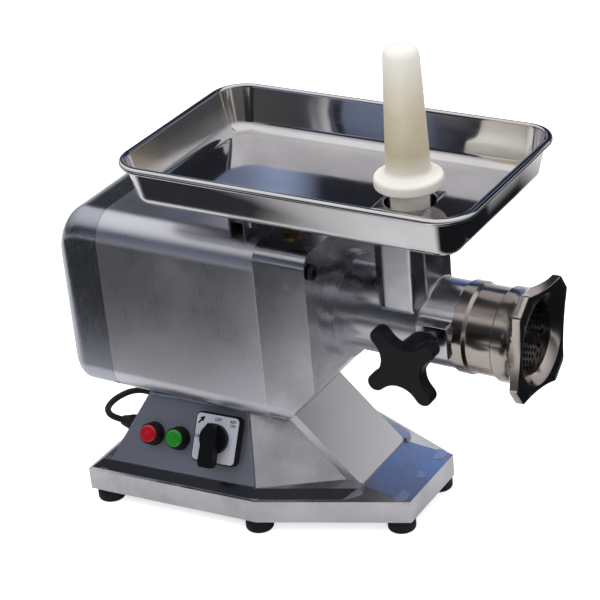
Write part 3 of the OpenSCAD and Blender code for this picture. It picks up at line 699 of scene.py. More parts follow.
class PlateTree(GrowthTree):
    """Round plate drilled in staggered columns, with a centre hole and a notch in its rim."""

    columns = 13
    row_step = math.cos(math.pi / 6)
    sizes = {"Radius": 0.041, "Thickness": 0.0078, "Pitch": 0.007, "Hole": 0.0024, "Clear inside": 0.0105,
             "Clear outside": 0.036, "Centre hole": 0.00605, "Notch": 0.0026}

    def __init__(self) -> None:
        """Builds the tree."""
        super().__init__("drilled_plate", self.sizes)
        size = self.entry
        spot = self.add("GeometryNodeInputPosition").outputs[0]
        step = self.math("MULTIPLY", size["Pitch"], self.row_step)
        grid = self.add("GeometryNodeMeshGrid", {
            "Size X": self.math("MULTIPLY", step, self.columns - 1.0),
            "Size Y": self.math("MULTIPLY", size["Pitch"], self.columns - 1.0),
            "Vertices X": self.columns, "Vertices Y": self.columns}).outputs[0]
        column = self.math("ROUND", self.math("DIVIDE", self.split(spot)[0], step))
        odd = self.math("ABSOLUTE", self.math("MODULO", column, 2.0))
        lift = self.math("MULTIPLY", odd, self.math("MULTIPLY", size["Pitch"], 0.5))
        shift = self.add("ShaderNodeCombineXYZ", {"1": lift}).outputs[0]
        holes = self.add("GeometryNodeSetPosition", {"Geometry": grid, "Offset": shift}).outputs[0]
        reach = self.add("ShaderNodeVectorMath", {"0": spot}, operation="LENGTH").outputs["Value"]
        inside = self.math("GREATER_THAN", reach, size["Clear inside"])
        outside = self.math("LESS_THAN", reach, size["Clear outside"])
        drills = self.add("GeometryNodeInstanceOnPoints", {
            "Points": holes, "Selection": self.math("MULTIPLY", inside, outside),
            "Instance": self.rod(size["Hole"], 20, 2.0)}).outputs[0]
        rim = self.add("ShaderNodeCombineXYZ", {"1": self.math("MULTIPLY", size["Radius"], -1.0)}).outputs[0]
        groove = self.rod(size["Notch"], 24, 2.0)
        notch = self.add("GeometryNodeTransform", {"Geometry": groove, "Translation": rim})
        disc = self.rod(size["Radius"], 128, 1.0)
        cut = self.add("GeometryNodeMeshBoolean", {"Mesh 1": disc}, operation="DIFFERENCE")
        for tool in (self.add("GeometryNodeRealizeInstances", {"Geometry": drills}).outputs[0],
                     self.rod(size["Centre hole"], 40, 2.0), notch.outputs[0]):
            self.tree.links.new(tool, cut.inputs["Mesh 2"])
        self.close(cut.outputs["Mesh"])

    def rod(self, radius: Socket, sides: int, stretch: float) -> Socket:
        """Adds an upright cylinder whose height is a share of the plate's thickness."""
        depth = self.math("MULTIPLY", self.entry["Thickness"], stretch)
        links = {"Vertices": sides, "Radius": radius, "Depth": depth}
        return self.add("GeometryNodeMeshCylinder", links, fill_type="NGON").outputs["Mesh"]


def island_middles(source: bpy.types.Mesh) -> list[Vector]:
    """Finds the middle of the box of each separate solid of a mesh, sorted.

    Args:
        source: The mesh.

    Returns:
        The middles.
    """
    work = bmesh.new()
    work.from_mesh(source)
    bmesh.ops.remove_doubles(work, verts=work.verts, dist=MERGE_GAP)
    left, middles = set(work.verts), []
    while left:
        stack, part = [left.pop()], []
        while stack:
            vertex = stack.pop()
            part.append(vertex.co.copy())
            near = {edge.other_vert(vertex) for edge in vertex.link_edges} & left
            left -= near
            stack += near
        middles.append(Vector([(min(p[k] for p in part) + max(p[k] for p in part)) / 2 for k in range(3)]))
    work.free()
    return sorted(middles, key=lambda v: (round(v.x, 5), round(v.y, 5)))


def plain_mesh(name: str, points: Sequence[Vector], faces: Sequence[Sequence[int]]) -> bpy.types.Mesh:
    """Makes a mesh from points and faces, merged and turned outwards.

    Args:
        name: Name of the mesh.
        points: Points in metres.
        faces: Point numbers of each face.

    Returns:
        The mesh.
    """
    mesh = bpy.data.meshes.new(name)
    mesh.from_pydata([tuple(p) for p in points], [], [list(f) for f in faces])
    work = bmesh.new()
    work.from_mesh(mesh)
    bmesh.ops.remove_doubles(work, verts=work.verts, dist=WELD_GAP)
    bmesh.ops.recalc_face_normals(work, faces=work.faces)
    work.to_mesh(mesh)
    work.free()
    return mesh


def turned_mesh(
    name: str, profile: Profile, place: Matrix, around: int = 96, hexagon: Sequence[int] = ()
) -> bpy.types.Mesh:
    """Turns a closed profile about its own Z axis.

    Args:
        name: Name of the mesh.
        profile: Radius and height of each point, in millimetres, from the axis back to the axis.
        place: Where the axis lies in the row frame.
        around: Faces round the axis.
        hexagon: Numbers of the points that run round a hexagon, whose corners have their radius.

    Returns:
        The mesh.
    """
    points: list[Vector] = []
    faces: list[list[int]] = []
    for k in range(around):
        a = 2 * math.pi * k / around
        flat = math.cos(math.pi / 6) / math.cos(a % (math.pi / 3) - math.pi / 6)
        for i, (r, z) in enumerate(profile):
            reach = r * MM * (flat if i in hexagon else 1.0)
            points.append(place @ Vector((reach * math.cos(a), reach * math.sin(a), z * MM)))
    n = len(profile)
    for k in range(around):
        here, there = k * n, (k + 1) % around * n
        faces += [[here + i, there + i, there + i + 1, here + i + 1] for i in range(n - 1)]
    return plain_mesh(name, points, faces)


def arc(cx: float, cy: float, r: float, start: float, end: float, steps: int) -> list[tuple[float, float]]:
    """Gives points along an arc about a centre, between two angles in degrees."""
    angles = [math.radians(start + (end - start) * i / steps) for i in range(steps + 1)]
    return [(cx + r * math.cos(a), cy + r * math.sin(a)) for a in angles]


# ---------------------------------------------------------------- sub-assemblies


@dataclass
class Stand:
    """Stepped pedestal with its front cover, control panel, bottom cover and feet."""

    frame: Frame
    edge: float = 2.6
    foot_r: float = 14.5
    foot_h: float = 13.0

    def build(self) -> None:
        """Makes the stand's pieces."""
        f = self.frame
        f.softened("base_casting", Palette.base, self.edge, 4, 5.0)
        f.softened("front_cover", Palette.cover, 1.0, 3, 20.0)
        f.softened("control_panel", Palette.panel, 0.4, 2)
        f.softened("bottom_cover", Palette.sheet, 0.0)
        r, h = self.foot_r, self.foot_h
        foot = [(2.6, 5.0), (5.5, 5.0), (5.5, 0.6), (6.1, 0.0), (r - 2.6, 0.0)]
        foot += arc(r - 2.4, 2.4, 2.4, -90, 0, 5)[1:]
        foot += [(r, 8.4), (r - 0.3, 9.6), (r - 2.0, h - 0.7), (r - 2.8, h), (2.6, h), (2.6, 5.0)]
        self.turned_at("rubber_feet", foot, Palette.rubber)
        long_screw = [(0.0, 3.4), (1.6, 3.4), (2.2, 2.4), (4.3, 2.4), (5.0, 3.0), (5.0, 5.0), (2.5, 5.0),
                      (2.5, 19.0), (0.0, 19.0)]
        self.turned_at("foot_screws", long_screw, Palette.machined)
        short_screw = [(0.0, 12.2), (1.4, 12.2), (1.8, 11.5), (3.2, 11.5), (4.0, 12.2), (4.0, 13.0),
                       (2.2, 13.0), (2.2, 21.5), (0.0, 21.5)]
        self.turned_at("bottom_screws", short_screw, Palette.machined)

    def turned_at(self, node: str, profile: Profile, finish: Finish) -> None:
        """Repeats a turned part under the base, with its heights measured from the table."""
        spots = [Vector((v.x, v.y, 0.0)) for v in island_middles(self.frame.nodes[node].data)]
        self.frame.repeated(node, turned_mesh(node, profile, Matrix(), 48), spots, finish)


@dataclass
class Housing:
    """Motor shell, rear cover and gearbox casting with what is fastened to them."""

    frame: Frame
    corner: float = 30.0
    wall: float = 3.0
    plan_r: float = 18.0
    top_r: float = 35.0
    low_r: float = 16.0

    def build(self) -> None:
        """Makes the housing's pieces."""
        f = self.frame
        f.softened("motor_shell", Palette.shell, 0.5, 2, 20.0)
        mesh = self.cover_mesh()
        smooth_faces(mesh, 40.0)
        mesh = with_modifiers(mesh, [("WEIGHTED_NORMAL", {"weight": 100, "keep_sharp": True})])
        f.settle(mesh, "rear_cover_finished", Palette.rear, ["rear_cover"], 0.0)
        f.softened("gear_casting", Palette.casting, 1.6, 3, 20.0)
        f.softened("oil_plug", Palette.brass, 0.3, 2)
        f.softened("pan_bracket", Palette.sheet, 0.4, 2)
        socket = [(0.0, 0.5), (4.0, 0.5), (4.1, 2.6), (6.9, 3.0), (7.7, 2.6), (8.0, 1.8), (8.0, 0.0),
                  (4.0, 0.0), (4.0, -11.0), (0.0, -11.0)]
        self.along_x("casting_screws", socket, (1, 2), 5.5, Palette.black_steel)
        bolt = [(0.0, 4.4), (4.4, 4.4), (5.5, 4.0), (5.8, 3.4), (5.8, 0.0), (3.0, 0.0), (3.0, -18.0),
                (5.5, -18.0), (5.5, -20.6), (4.4, -21.4), (0.0, -21.4)]
        self.along_x("bracket_bolts", bolt, (1, 2, 3, 4), 8.5, Palette.machined)

    def cover_mesh(self) -> bpy.types.Mesh:
        """Lofts the domed rear cover: its section shrinks towards the back, with a wall behind the seam.

        Returns:
            The mesh.
        """
        low, high = (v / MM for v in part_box("rear_cover"))
        points: list[Vector] = []
        loops, dome_steps, corner_steps = 0, 16, 12
        for inset in (0.0, self.wall):
            back = low.x + inset
            rise = (math.pi / 2 * k / dome_steps for k in range(dome_steps + 1))
            depths = [self.top_r * (1 - math.cos(a)) for a in rise] + [high.x - back]
            for depth in depths if inset == 0.0 else reversed(depths):
                radii = (self.plan_r, self.top_r, self.low_r)
                side, top, under = (self.bend(radius - inset, depth) + inset for radius in radii)
                r = self.corner - inset
                wide, z0, z1 = high.y - side - r, low.z + under + r, high.z - top - r
                for cy, cz, start in ((wide, z1, 0), (-wide, z1, 90), (-wide, z0, 180), (wide, z0, 270)):
                    bow = arc(cy, cz, r, start, start + 90, corner_steps)
                    points += [Vector((back + depth, y, z)) * MM for y, z in bow]
                loops += 1
        n = len(points) // loops
        faces = [[k * n + i, k * n + (i + 1) % n, (k + 1) * n + (i + 1) % n, (k + 1) * n + i]
                 for k in range(loops - 1) for i in range(n)]
        faces += [list(range(n)), list(range((loops - 1) * n, loops * n))]
        return plain_mesh("rear_cover", points, faces)

    def bend(self, r: float, depth: float) -> float:
        """Tells how far a side with this rounding lies inward at a distance from the back face."""
        return r - math.sqrt(r * r - max(r - depth, 0.0) ** 2)

    def along_x(
        self, node: str, profile: Profile, hexagon: Sequence[int], back: float, finish: Finish
    ) -> None:
        """Repeats a screw whose axis runs along X.

        Args:
            node: The node that it stands for.
            profile: Radius and place along the axis of each point, from under the head, in millimetres.
            hexagon: Points that run round a hexagon.
            back: Distance from the node's middle to the underside of the head, in millimetres.
            finish: The finish.
        """
        shape = turned_mesh(node, profile, Matrix.Rotation(math.pi / 2, 4, "Y"), 48, hexagon)
        spots = [v + Vector((back * MM, 0.0, 0.0)) for v in island_middles(self.frame.nodes[node].data)]
        self.frame.repeated(node, shape, spots, finish)


@dataclass
class DriveTrain:
    """Motor and gears inside the housing, which keep their CAD shapes."""

    frame: Frame
    steel: tuple[str, ...] = (
        "stator_core", "rotor", "motor_shaft", "motor_bearings", "motor_pinion", "lay_shaft", "lay_gear_big",
        "lay_gear_small", "lay_bearings", "output_shaft", "output_gear", "output_bearings",
    )

    def build(self) -> None:
        """Dresses the drive's nodes."""
        f = self.frame
        f.dress(self.steel, Palette.machined)
        f.dress(["windings"], Palette.copper)
        f.dress(["motor_spider"], Palette.casting)
        f.dress(["cooling_fan"], Palette.bakelite)
        f.dress(["shaft_seal"], Palette.rubber)
        f.dress(["run_capacitor"], Palette.casing)


@dataclass
class GrindingHead:
    """Barrel with neck, nose sleeve, ring nut, plate, knife, auger and the clamp knob."""

    frame: Frame
    axis_z: float = 224.0
    front: float = 250.0
    back: float = 216.0
    plate_back: float = 224.9
    plate_t: float = 7.8
    ring_r: float = 46.5
    opening_r: float = 35.0
    thread_r: float = 44.05
    lug_flat: float = 50.0
    lug_tip: float = 64.0
    lug_hollow: float = 189.0
    lug_turn: float = 35.0
    lug_soft: float = 2.2

    def build(self) -> None:
        """Makes the head's pieces."""
        f = self.frame
        f.cast("head_body", Palette.head, 1.0, 16)
        f.softened("nose_sleeve", Palette.turned, 0.5, 2, 20.0)
        f.settle(self.nut_mesh(), "ring_nut_finished", Palette.turned, ["ring_nut"], 30.0)
        plate = PlateTree().run(bpy.data.meshes.new("start"), Palette.plate, {})
        turn = Matrix(((0, 0, 1, 0), (1, 0, 0, 0), (0, 1, 0, 0), (0, 0, 0, 1)))
        middle = Vector((self.plate_back + self.plate_t / 2, 0.0, self.axis_z)) * MM
        plate.transform(Matrix.Translation(middle) @ turn)
        f.settle(plate, "hole_plate_finished", Palette.plate, ["hole_plate"], 30.0)
        f.softened("cross_knife", Palette.machined, 0.3, 2)
        f.softened("clamp_screw", Palette.machined, 0.3, 2)
        f.softened("clamp_knob", Palette.bakelite, 3.6, 5, 30.0)
        f.dress(["auger_core", "auger_flight", "key_pin"], Palette.machined)

    def lug_reach(self, angle: float) -> float:
        """Distance from the axis to the lug plate's edge, in millimetres.

        Args:
            angle: Angle round the axis from Y towards Z, in degrees.

        Returns:
            The distance.
        """
        side = math.radians((angle - self.lug_turn + 90.0) % 90.0 - 45.0)
        far = self.lug_flat + self.lug_hollow
        hollow = far * math.cos(side) - math.sqrt(self.lug_hollow ** 2 - (far * math.sin(side)) ** 2)
        corner = math.radians(45.0) - abs(side)
        tip = self.lug_tip / math.cos(corner)
        share = max(self.lug_soft - abs(hollow - tip), 0.0) / self.lug_soft
        return min(hollow, tip) - share * share * self.lug_soft / 4

    def nut_mesh(self) -> bpy.types.Mesh:
        """Sweeps the nut's section round its axis, out to the lug plate's edge.

        Returns:
            The mesh.
        """
        x, ring, hole = self.front, self.ring_r, self.opening_r
        back = self.back
        rear = [(back, ring - 1.8), (back + 0.4, ring - 0.9), (back + 1.6, ring), (x - 24.3, ring)]
        flare = [(x - 20.0, ring + 0.5), (x - 16.3, ring + 1.6), (x - 13.6, ring + 3.4),
                 (x - 11.8, ring + 4.8), (x - 10.4, ring + 7.2), (x - 9.1, ring + 10.0),
                 (x - 8.6, ring + 14.0), (x - 8.3, ring + 18.5)]
        mouth = [(x, hole + 10.6), (x - 0.4, hole + 9.7), (x - 6.5, hole + 0.7), (x - 7.4, hole),
                 (x - 17.0, hole), (x - 17.0, self.thread_r), (back, self.thread_r)]
        around = 288
        points: list[Vector] = []
        faces: list[list[int]] = []
        for k in range(around):
            angle = 360.0 * k / around
            lug = self.lug_reach(angle)
            edge = [(a, min(r, lug)) for a, r in flare]
            edge += [(x - 8.2, lug), (x - 1.2, lug), (x - 0.4, lug - 0.35), (x, lug - 1.2)]
            section = rear + edge + mouth + [rear[0]]
            c, d = math.cos(math.radians(angle)), math.sin(math.radians(angle))
            points += [Vector((a, r * c, self.axis_z + r * d)) * MM for a, r in section]
            n = len(section)
            here, there = k * n, (k + 1) % around * n
            faces += [[here + i, here + i + 1, there + i + 1, there + i] for i in range(n - 1)]
        return plain_mesh("ring_nut", points, faces)


@dataclass
class PanAndPusher:
    """Feed pan with its rolled rim, and the pusher in its throat."""

    frame: Frame
    corner: float = 36.0
    sheet: float = 1.2
    fillet: float = 13.0
    lean: float = 13.0
    bead: float = 3.7
    throat: tuple[float, float] = (26.4, 30.4)
    throat_shift: float = -2.0
    corner_steps: int = 16
    flange_z: float = 364.0
    flange_r: float = 33.5

    def build(self) -> None:
        """Makes the pan and the pusher."""
        mesh = with_modifiers(self.pan_mesh(), [("WEIGHTED_NORMAL", {"keep_sharp": False})])
        self.frame.settle(mesh, "feed_pan", Palette.pan, ["pan"], 50.0)
        self.frame.settle(self.pusher_mesh(), "meat_pusher", Palette.ivory, ["pusher"], 40.0)

    def profile(self, floor: float, rim: float) -> list[tuple[float, float]]:
        """Section of the wall, from the floor's edge up the inside, over the rim and down the outside.

        Args:
            floor: Height of the floor's underside.
            rim: Height of the rim's top.

        Returns:
            Distance from the corner's centre and height of each point, in millimetres.
        """
        t, b, a, r = self.sheet, self.bead, self.lean, self.fillet
        top = rim - b
        tilt = math.radians(a)
        rise = top - floor - t - r
        foot = self.corner - 2 * b - (r + rise * math.sin(tilt)) / math.cos(tilt)
        inside = arc(foot, floor + t + r, r, -90, -a, 10)
        crest = (self.corner - b, top)
        over = arc(crest[0], crest[1], b, 180 - a, -170, 18)
        under = arc(crest[0], crest[1], b - t, -170, 180 - a, 18)
        outside = arc(foot, floor + t + r, r + t, -a, -90, 10)
        return inside + over + under + outside

    def pan_mesh(self) -> bpy.types.Mesh:
        """Sweeps the wall round the pan and closes its floor round the throat.

        Returns:
            The mesh.
        """
        low, high = (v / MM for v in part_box("pan"))
        profile = self.profile(low.z, high.z)
        mid = (low + high) / 2
        lx, ly = (high.x - low.x) / 2 - self.corner, (high.y - low.y) / 2 - self.corner
        pusher_low, pusher_high = (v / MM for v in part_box("pusher"))
        neck = (pusher_low.x + pusher_high.x) / 2 + self.throat_shift - mid.x
        wide, deep = self.throat
        xs, ys = [-lx, neck - wide, neck + wide, lx], [-ly, -deep, deep, ly]
        ring: list[Point] = []
        for cx, cy, turn, run in (
            (lx, ly, 0, [(x, ly) for x in reversed(xs[1:-1])]),
            (-lx, ly, 90, [(-lx, y) for y in reversed(ys[1:-1])]),
            (-lx, -ly, 180, [(x, -ly) for x in xs[1:-1]]),
            (lx, -ly, 270, [(lx, y) for y in ys[1:-1]]),
        ):
            ring += [(cx, cy, turn + 90 * i / self.corner_steps) for i in range(self.corner_steps + 1)]
            ring += [(x, y, turn + 90) for x, y in run]
        points: list[Vector] = []
        for cx, cy, angle in ring:
            c, s = math.cos(math.radians(angle)), math.sin(math.radians(angle))
            points += [Vector((mid.x + cx + o * c, cy + o * s, z)) * MM for o, z in profile]
        n, faces = len(profile), []
        for k in range(len(ring)):
            here, there = k * n, (k + 1) % len(ring) * n
            faces += [[here + i, there + i, there + i + 1, here + i + 1] for i in range(n - 1)]
        self.close_floor(points, faces, ring, profile, mid.x, (xs, ys), low.z)
        return plain_mesh("feed_pan", points, faces)

    def close_floor(
        self, points: list[Vector], faces: list[list[int]], ring: list[tuple[float, float, float]],
        profile: list[tuple[float, float]], pan_x: float, grid: tuple[list[float], list[float]], floor: float,
    ) -> None:
        """Adds both sides of the floor, from the wall's foot to the throat hole.

        Args:
            points: Points so far.
            faces: Faces so far.
            ring: Centre and angle of each station round the pan.
            profile: Section of the wall.
            pan_x: X of the pan's middle.
            grid: X and Y lines of the floor's grid.
            floor: Height of the floor's underside.
        """
        xs, ys = grid
        side, hole_cell = len(xs), (1, 1)
        cells = [(i, j) for i in range(side - 1) for j in range(side - 1) if (i, j) != hole_cell]
        for index, z in ((0, floor + self.sheet), (len(profile) - 1, floor)):
            start = len(points)
            points += [Vector((pan_x + x, y, z)) * MM for y in ys for x in xs]
            for i, j in cells:
                low = start + j * side + i
                faces.append([low, low + 1, low + side + 1, low + side])
            near = {(x, y): start + j * side + i for j, y in enumerate(ys) for i, x in enumerate(xs)}
            for k, (one, two) in enumerate(zip(ring, [*ring[1:], ring[0]])):
                a, b = near[one[:2]], near[two[:2]]
                outer = [k * len(profile) + index, (k + 1) % len(ring) * len(profile) + index]
                faces.append([*outer, b] if a == b else [*outer, b, a])
        lower = len(points) - side * side
        upper = lower - side * side
        edge = [side + 1, side + 2, 2 * side + 2, 2 * side + 1]
        faces += [[upper + a, upper + b, lower + b, lower + a] for a, b in zip(edge, [*edge[1:], edge[0]])]

    def pusher_mesh(self) -> bpy.types.Mesh:
        """Turns the pusher: stem, rounded flange and tapered handle with a domed end.

        Returns:
            The mesh.
        """
        low, high = (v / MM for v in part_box("pusher"))
        top, flange, wide = high.z, self.flange_z, self.flange_r
        profile = [(0.0, low.z)] + arc(16.6, low.z + 1.6, 1.6, -90, 0, 4)
        profile += [(19.0, flange), (wide - 2.8, flange)]
        profile += arc(wide - 2.6, flange + 2.6, 2.6, -90, 0, 6)[1:]
        profile += arc(wide - 3.6, flange + 8.2, 3.6, 0, 75, 7)
        profile += [(28.0, flange + 12.6), (26.0, flange + 13.2)]
        profile += arc(27.4, flange + 19.4, 6.0, -108, -176, 8)
        neck, cap, steps = (21.2, flange + 24.0), (17.4, top - 10.0), 10
        profile += [(neck[0] + (cap[0] - neck[0]) * i / steps, neck[1] + (cap[1] - neck[1]) * i / steps)
                    for i in range(steps + 1)]
        profile += [(17.15, top - 7.6), (16.3, top - 5.2), (14.6, top - 3.0), (12.0, top - 1.5),
                    (8.5, top - 0.5), (4.5, top - 0.1), (0.0, top)]
        return turned_mesh("meat_pusher", profile, Matrix.Translation(((low.x + high.x) / 2 * MM, 0, 0)))


@dataclass
class Controls:
    """Push buttons in their boots and the rotary switch with its marked plate."""

    frame: Frame
    buttons: tuple[float, float] = (-75.5, -45.5)
    button_v: float = -6.8
    plate_top: float = 12.2
    mark_t: float = 0.1
    marks: tuple[tuple[str, float, float, float], ...] = (
        ("OFF", 0.5, 19.6, 3.4), ("ON", -20.0, 0.0, 3.4), ("REV", 17.6, 19.6, 3.0), ("ON", 17.6, 15.6, 3.0))
    arrow: tuple[tuple[float, float], ...] = (
        (-22.0, 13.6), (-20.9, 12.5), (-17.4, 16.6), (-16.2, 15.3), (-14.6, 21.4), (-20.4, 19.2),
        (-19.1, 18.0))
    up: Vector = field(init=False)
    along: Vector = field(init=False)
    out: Vector = field(init=False)
    centre: Vector = field(init=False)

    def __post_init__(self) -> None:
        """Takes the panel's directions from the switch's joint."""
        joint = self.frame.joints["selector_turn"]
        self.out = Vector(joint["axis"]).normalized()
        self.along = Vector((0, 0, 1)).cross(self.out).normalized()
        self.up = self.out.cross(self.along)
        self.centre = Vector(joint["pos_m"])

    def place(self, x: float, y: float, z: float) -> Matrix:
        """Place on the panel.

        Args:
            x: Millimetres along the panel from the switch's centre.
            y: Millimetres up the slope.
            z: Millimetres above the panel.

        Returns:
            The matrix of that place.
        """
        turn = Matrix((self.along, self.up, self.out)).transposed().to_4x4()
        spot = self.centre + (self.along * x + self.up * y + self.out * z) * MM
        return Matrix.Translation(spot) @ turn

    def build(self) -> None:
        """Makes the controls."""
        f = self.frame
        boot = [(9.2, -10.0), (11.0, -10.0), (11.0, 2.0), (12.3, 2.0), (12.3, 3.4), (11.7, 4.0), (10.8, 4.0)]
        boot += [(10.8, 13.7), (10.2, 14.4), (9.6, 14.5), (9.2, 14.1), (9.2, -10.0)]
        stop, start = (self.place(x, self.button_v, 0) for x in self.buttons)
        spots = [Vector(), start.translation - stop.translation]
        f.repeated("button_boots", turned_mesh("boot", boot, stop, 64), spots, Palette.rubber)
        lens = [(0.0, -6.8), (4.0, -6.8), (4.0, 5.0), (9.1, 5.0)] + arc(7.9, 15.3, 1.2, 0, 60, 4)
        lens += [(6.5, 16.85), (4.0, 17.2), (1.8, 17.38), (0.0, 17.4)]
        for node, finish, spot in ("stop_button", Palette.red, stop), ("start_button", Palette.green, start):
            f.settle(turned_mesh(node, lens, spot, 64), f"{node}_finished", finish, [node], 30.0)
        f.softened("switch_surround", Palette.bakelite, 0.8, 3)
        f.softened("switch_plate", Palette.label, 0.3, 2)
        f.softened("selector_knob", Palette.bakelite, 0.8, 3)
        f.dress(["button_blocks", "switch_body"], Palette.bakelite)
        f.dress(["selector_shaft"], Palette.machined)
        for word, x, y, size in self.marks:
            self.mark(word, x, y, size)
        levels = (self.plate_top, self.plate_top + self.mark_t)
        points = [self.place(x, y, level).translation for level in levels for x, y in self.arrow]
        n = len(self.arrow)
        sides = [[i, (i + 1) % n, n + (i + 1) % n, n + i] for i in range(n)]
        mesh = plain_mesh("mark_arrow", points, [list(range(n)), list(range(n, 2 * n)), *sides])
        f.settle(mesh, "mark_arrow", Palette.ink, ["+switch_plate"])

    def mark(self, word: str, x: float, y: float, size: float) -> None:
        """Prints a word on the switch plate.

        Args:
            word: The word.
            x: Millimetres along from the centre.
            y: Millimetres up from the centre.
            size: Height of the letters in millimetres.
        """
        text = bpy.data.curves.new(f"mark_{word}", "FONT")
        em_share, boldness, off_corner = 1.35, 0.09, 50
        text.body, text.size = word, size * MM * em_share
        text.align_x, text.align_y = "CENTER", "CENTER"
        text.extrude, text.offset, text.resolution_u = self.mark_t / 2 * MM, boldness * MM, 3
        holder = placed("mark", text)
        mesh = evaluated_mesh(holder)
        bpy.data.objects.remove(holder)
        mesh.transform(self.place(x, y, self.plate_top + self.mark_t / 2))
        name = f"mark_{word}_{int(x + off_corner)}_{int(y + off_corner)}"
        self.frame.settle(mesh, name, Palette.ink, ["+switch_plate"])


@dataclass
class MainsCord:
    """Mains cord from its gland to the coil stored behind the machine, and its plug."""

    frame: Frame
    radius: float = 3.4
    coil_at: tuple[float, float] = (-145.0, 178.0)
    coil_r: tuple[float, float] = (49.2, 32.2)
    layer_turns: float = 2.5
    climb_turns: float = 0.5
    turn_steps: int = 36
    lead: tuple[tuple[float, float, float], ...] = (
        (-202, -66, 67), (-222, -64.5, 67.4), (-234, -57, 67.6), (-240.5, -44, 66.8), (-244.5, -24, 63.5),
        (-247, 2, 56), (-247.5, 26, 44), (-247, 46, 28), (-246, 60, 14), (-245, 74, 6), (-243, 88, 3.4),
        (-237, 106, 3.4), (-221, 125, 3.4), (-196, 130, 3.4), (-163.5, 128.8, 3.4),
    )
    tail: tuple[tuple[float, float, float], ...] = (
        (-163.5, 227.2, 10.2), (-180, 228.5, 10.4), (-200, 228, 10.8), (-214, 224, 11.8), (-223, 216, 12.9),
        (-226, 207, 13.5), (-226, 203, 13.5),
    )

    def build(self) -> None:
        """Makes the cord, its gland and its plug."""
        f = self.frame
        points = [Vector(p) * MM for p in self.route()]
        curve = bpy.data.curves.new("mains_cord", "CURVE")
        curve.dimensions = "3D"
        spline = curve.splines.new("POLY")
        spline.points.add(len(points) - 1)
        for spot, point in zip(spline.points, points):
            spot.co = (*point, 1.0)
        curve.bevel_depth, curve.bevel_resolution, curve.use_fill_caps = self.radius * MM, 4, True
        curve.materials.append(Palette.material(Palette.rubber))
        cord = placed("mains_cord", curve)
        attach(cord, f.body_of["power_cord"])
        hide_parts("power_cord", "cord_coil")
        plug = f.softened("power_plug", Palette.rubber, 1.2, 3)
        f.softened("cord_gland", Palette.rubber, 0.4, 2)

    def route(self) -> list[Vector]:
        """Centreline: the lead, the turns of the coil in two layers and the tail.

        Returns:
            The points in millimetres.
        """
        cx, cy = self.coil_at
        first, last = self.coil_r
        layer, climb = self.layer_turns, self.climb_turns
        turns: list[Vector] = []
        for i in range(1, int((2 * layer + climb) * self.turn_steps)):
            t = i / self.turn_steps
            angle = 2 * math.pi * t - math.pi / 2
            if t < layer:
                r, z = first - (first - last) * t / layer, self.radius
            elif t < layer + climb:
                r, z = last, self.radius * (1 + 2 * smoothed((t - layer) / climb))
            else:
                r, z = last + (first - last) * (t - layer - climb) / layer, 3 * self.radius
            turns.append(Vector((cx + r * math.cos(angle), cy + r * math.sin(angle), z)))
        joined = [Vector(p) for p in self.lead[:-1]] + turns + [Vector(p) for p in self.tail[1:]]
        return spline_points(joined, 3)


def smoothed(t: float) -> float:
    """Eases a value from 0 to 1."""
    return t * t * (3 - 2 * t)


def spline_points(knots: Sequence[Vector], steps: int) -> list[Vector]:
    """Smooth line through knots.

    Args:
        knots: Points that the line passes.
        steps: Steps between two knots.

    Returns:
        Points of the line.
    """
    ends = [knots[0] * 2 - knots[1], *knots, knots[-1] * 2 - knots[-2]]
    line: list[Vector] = []
    for k in range(1, len(ends) - 2):
        a, b, c, d = ends[k - 1 : k + 3]
        for i in range(steps):
            t = i / steps
            line.append(0.5 * (2 * b + (c - a) * t + (2 * a - 5 * b + 4 * c - d) * t * t
                               + (3 * b - a - 3 * c + d) * t ** 3))
    return [*line, knots[-1]]


# ---------------------------------------------------------------- studio


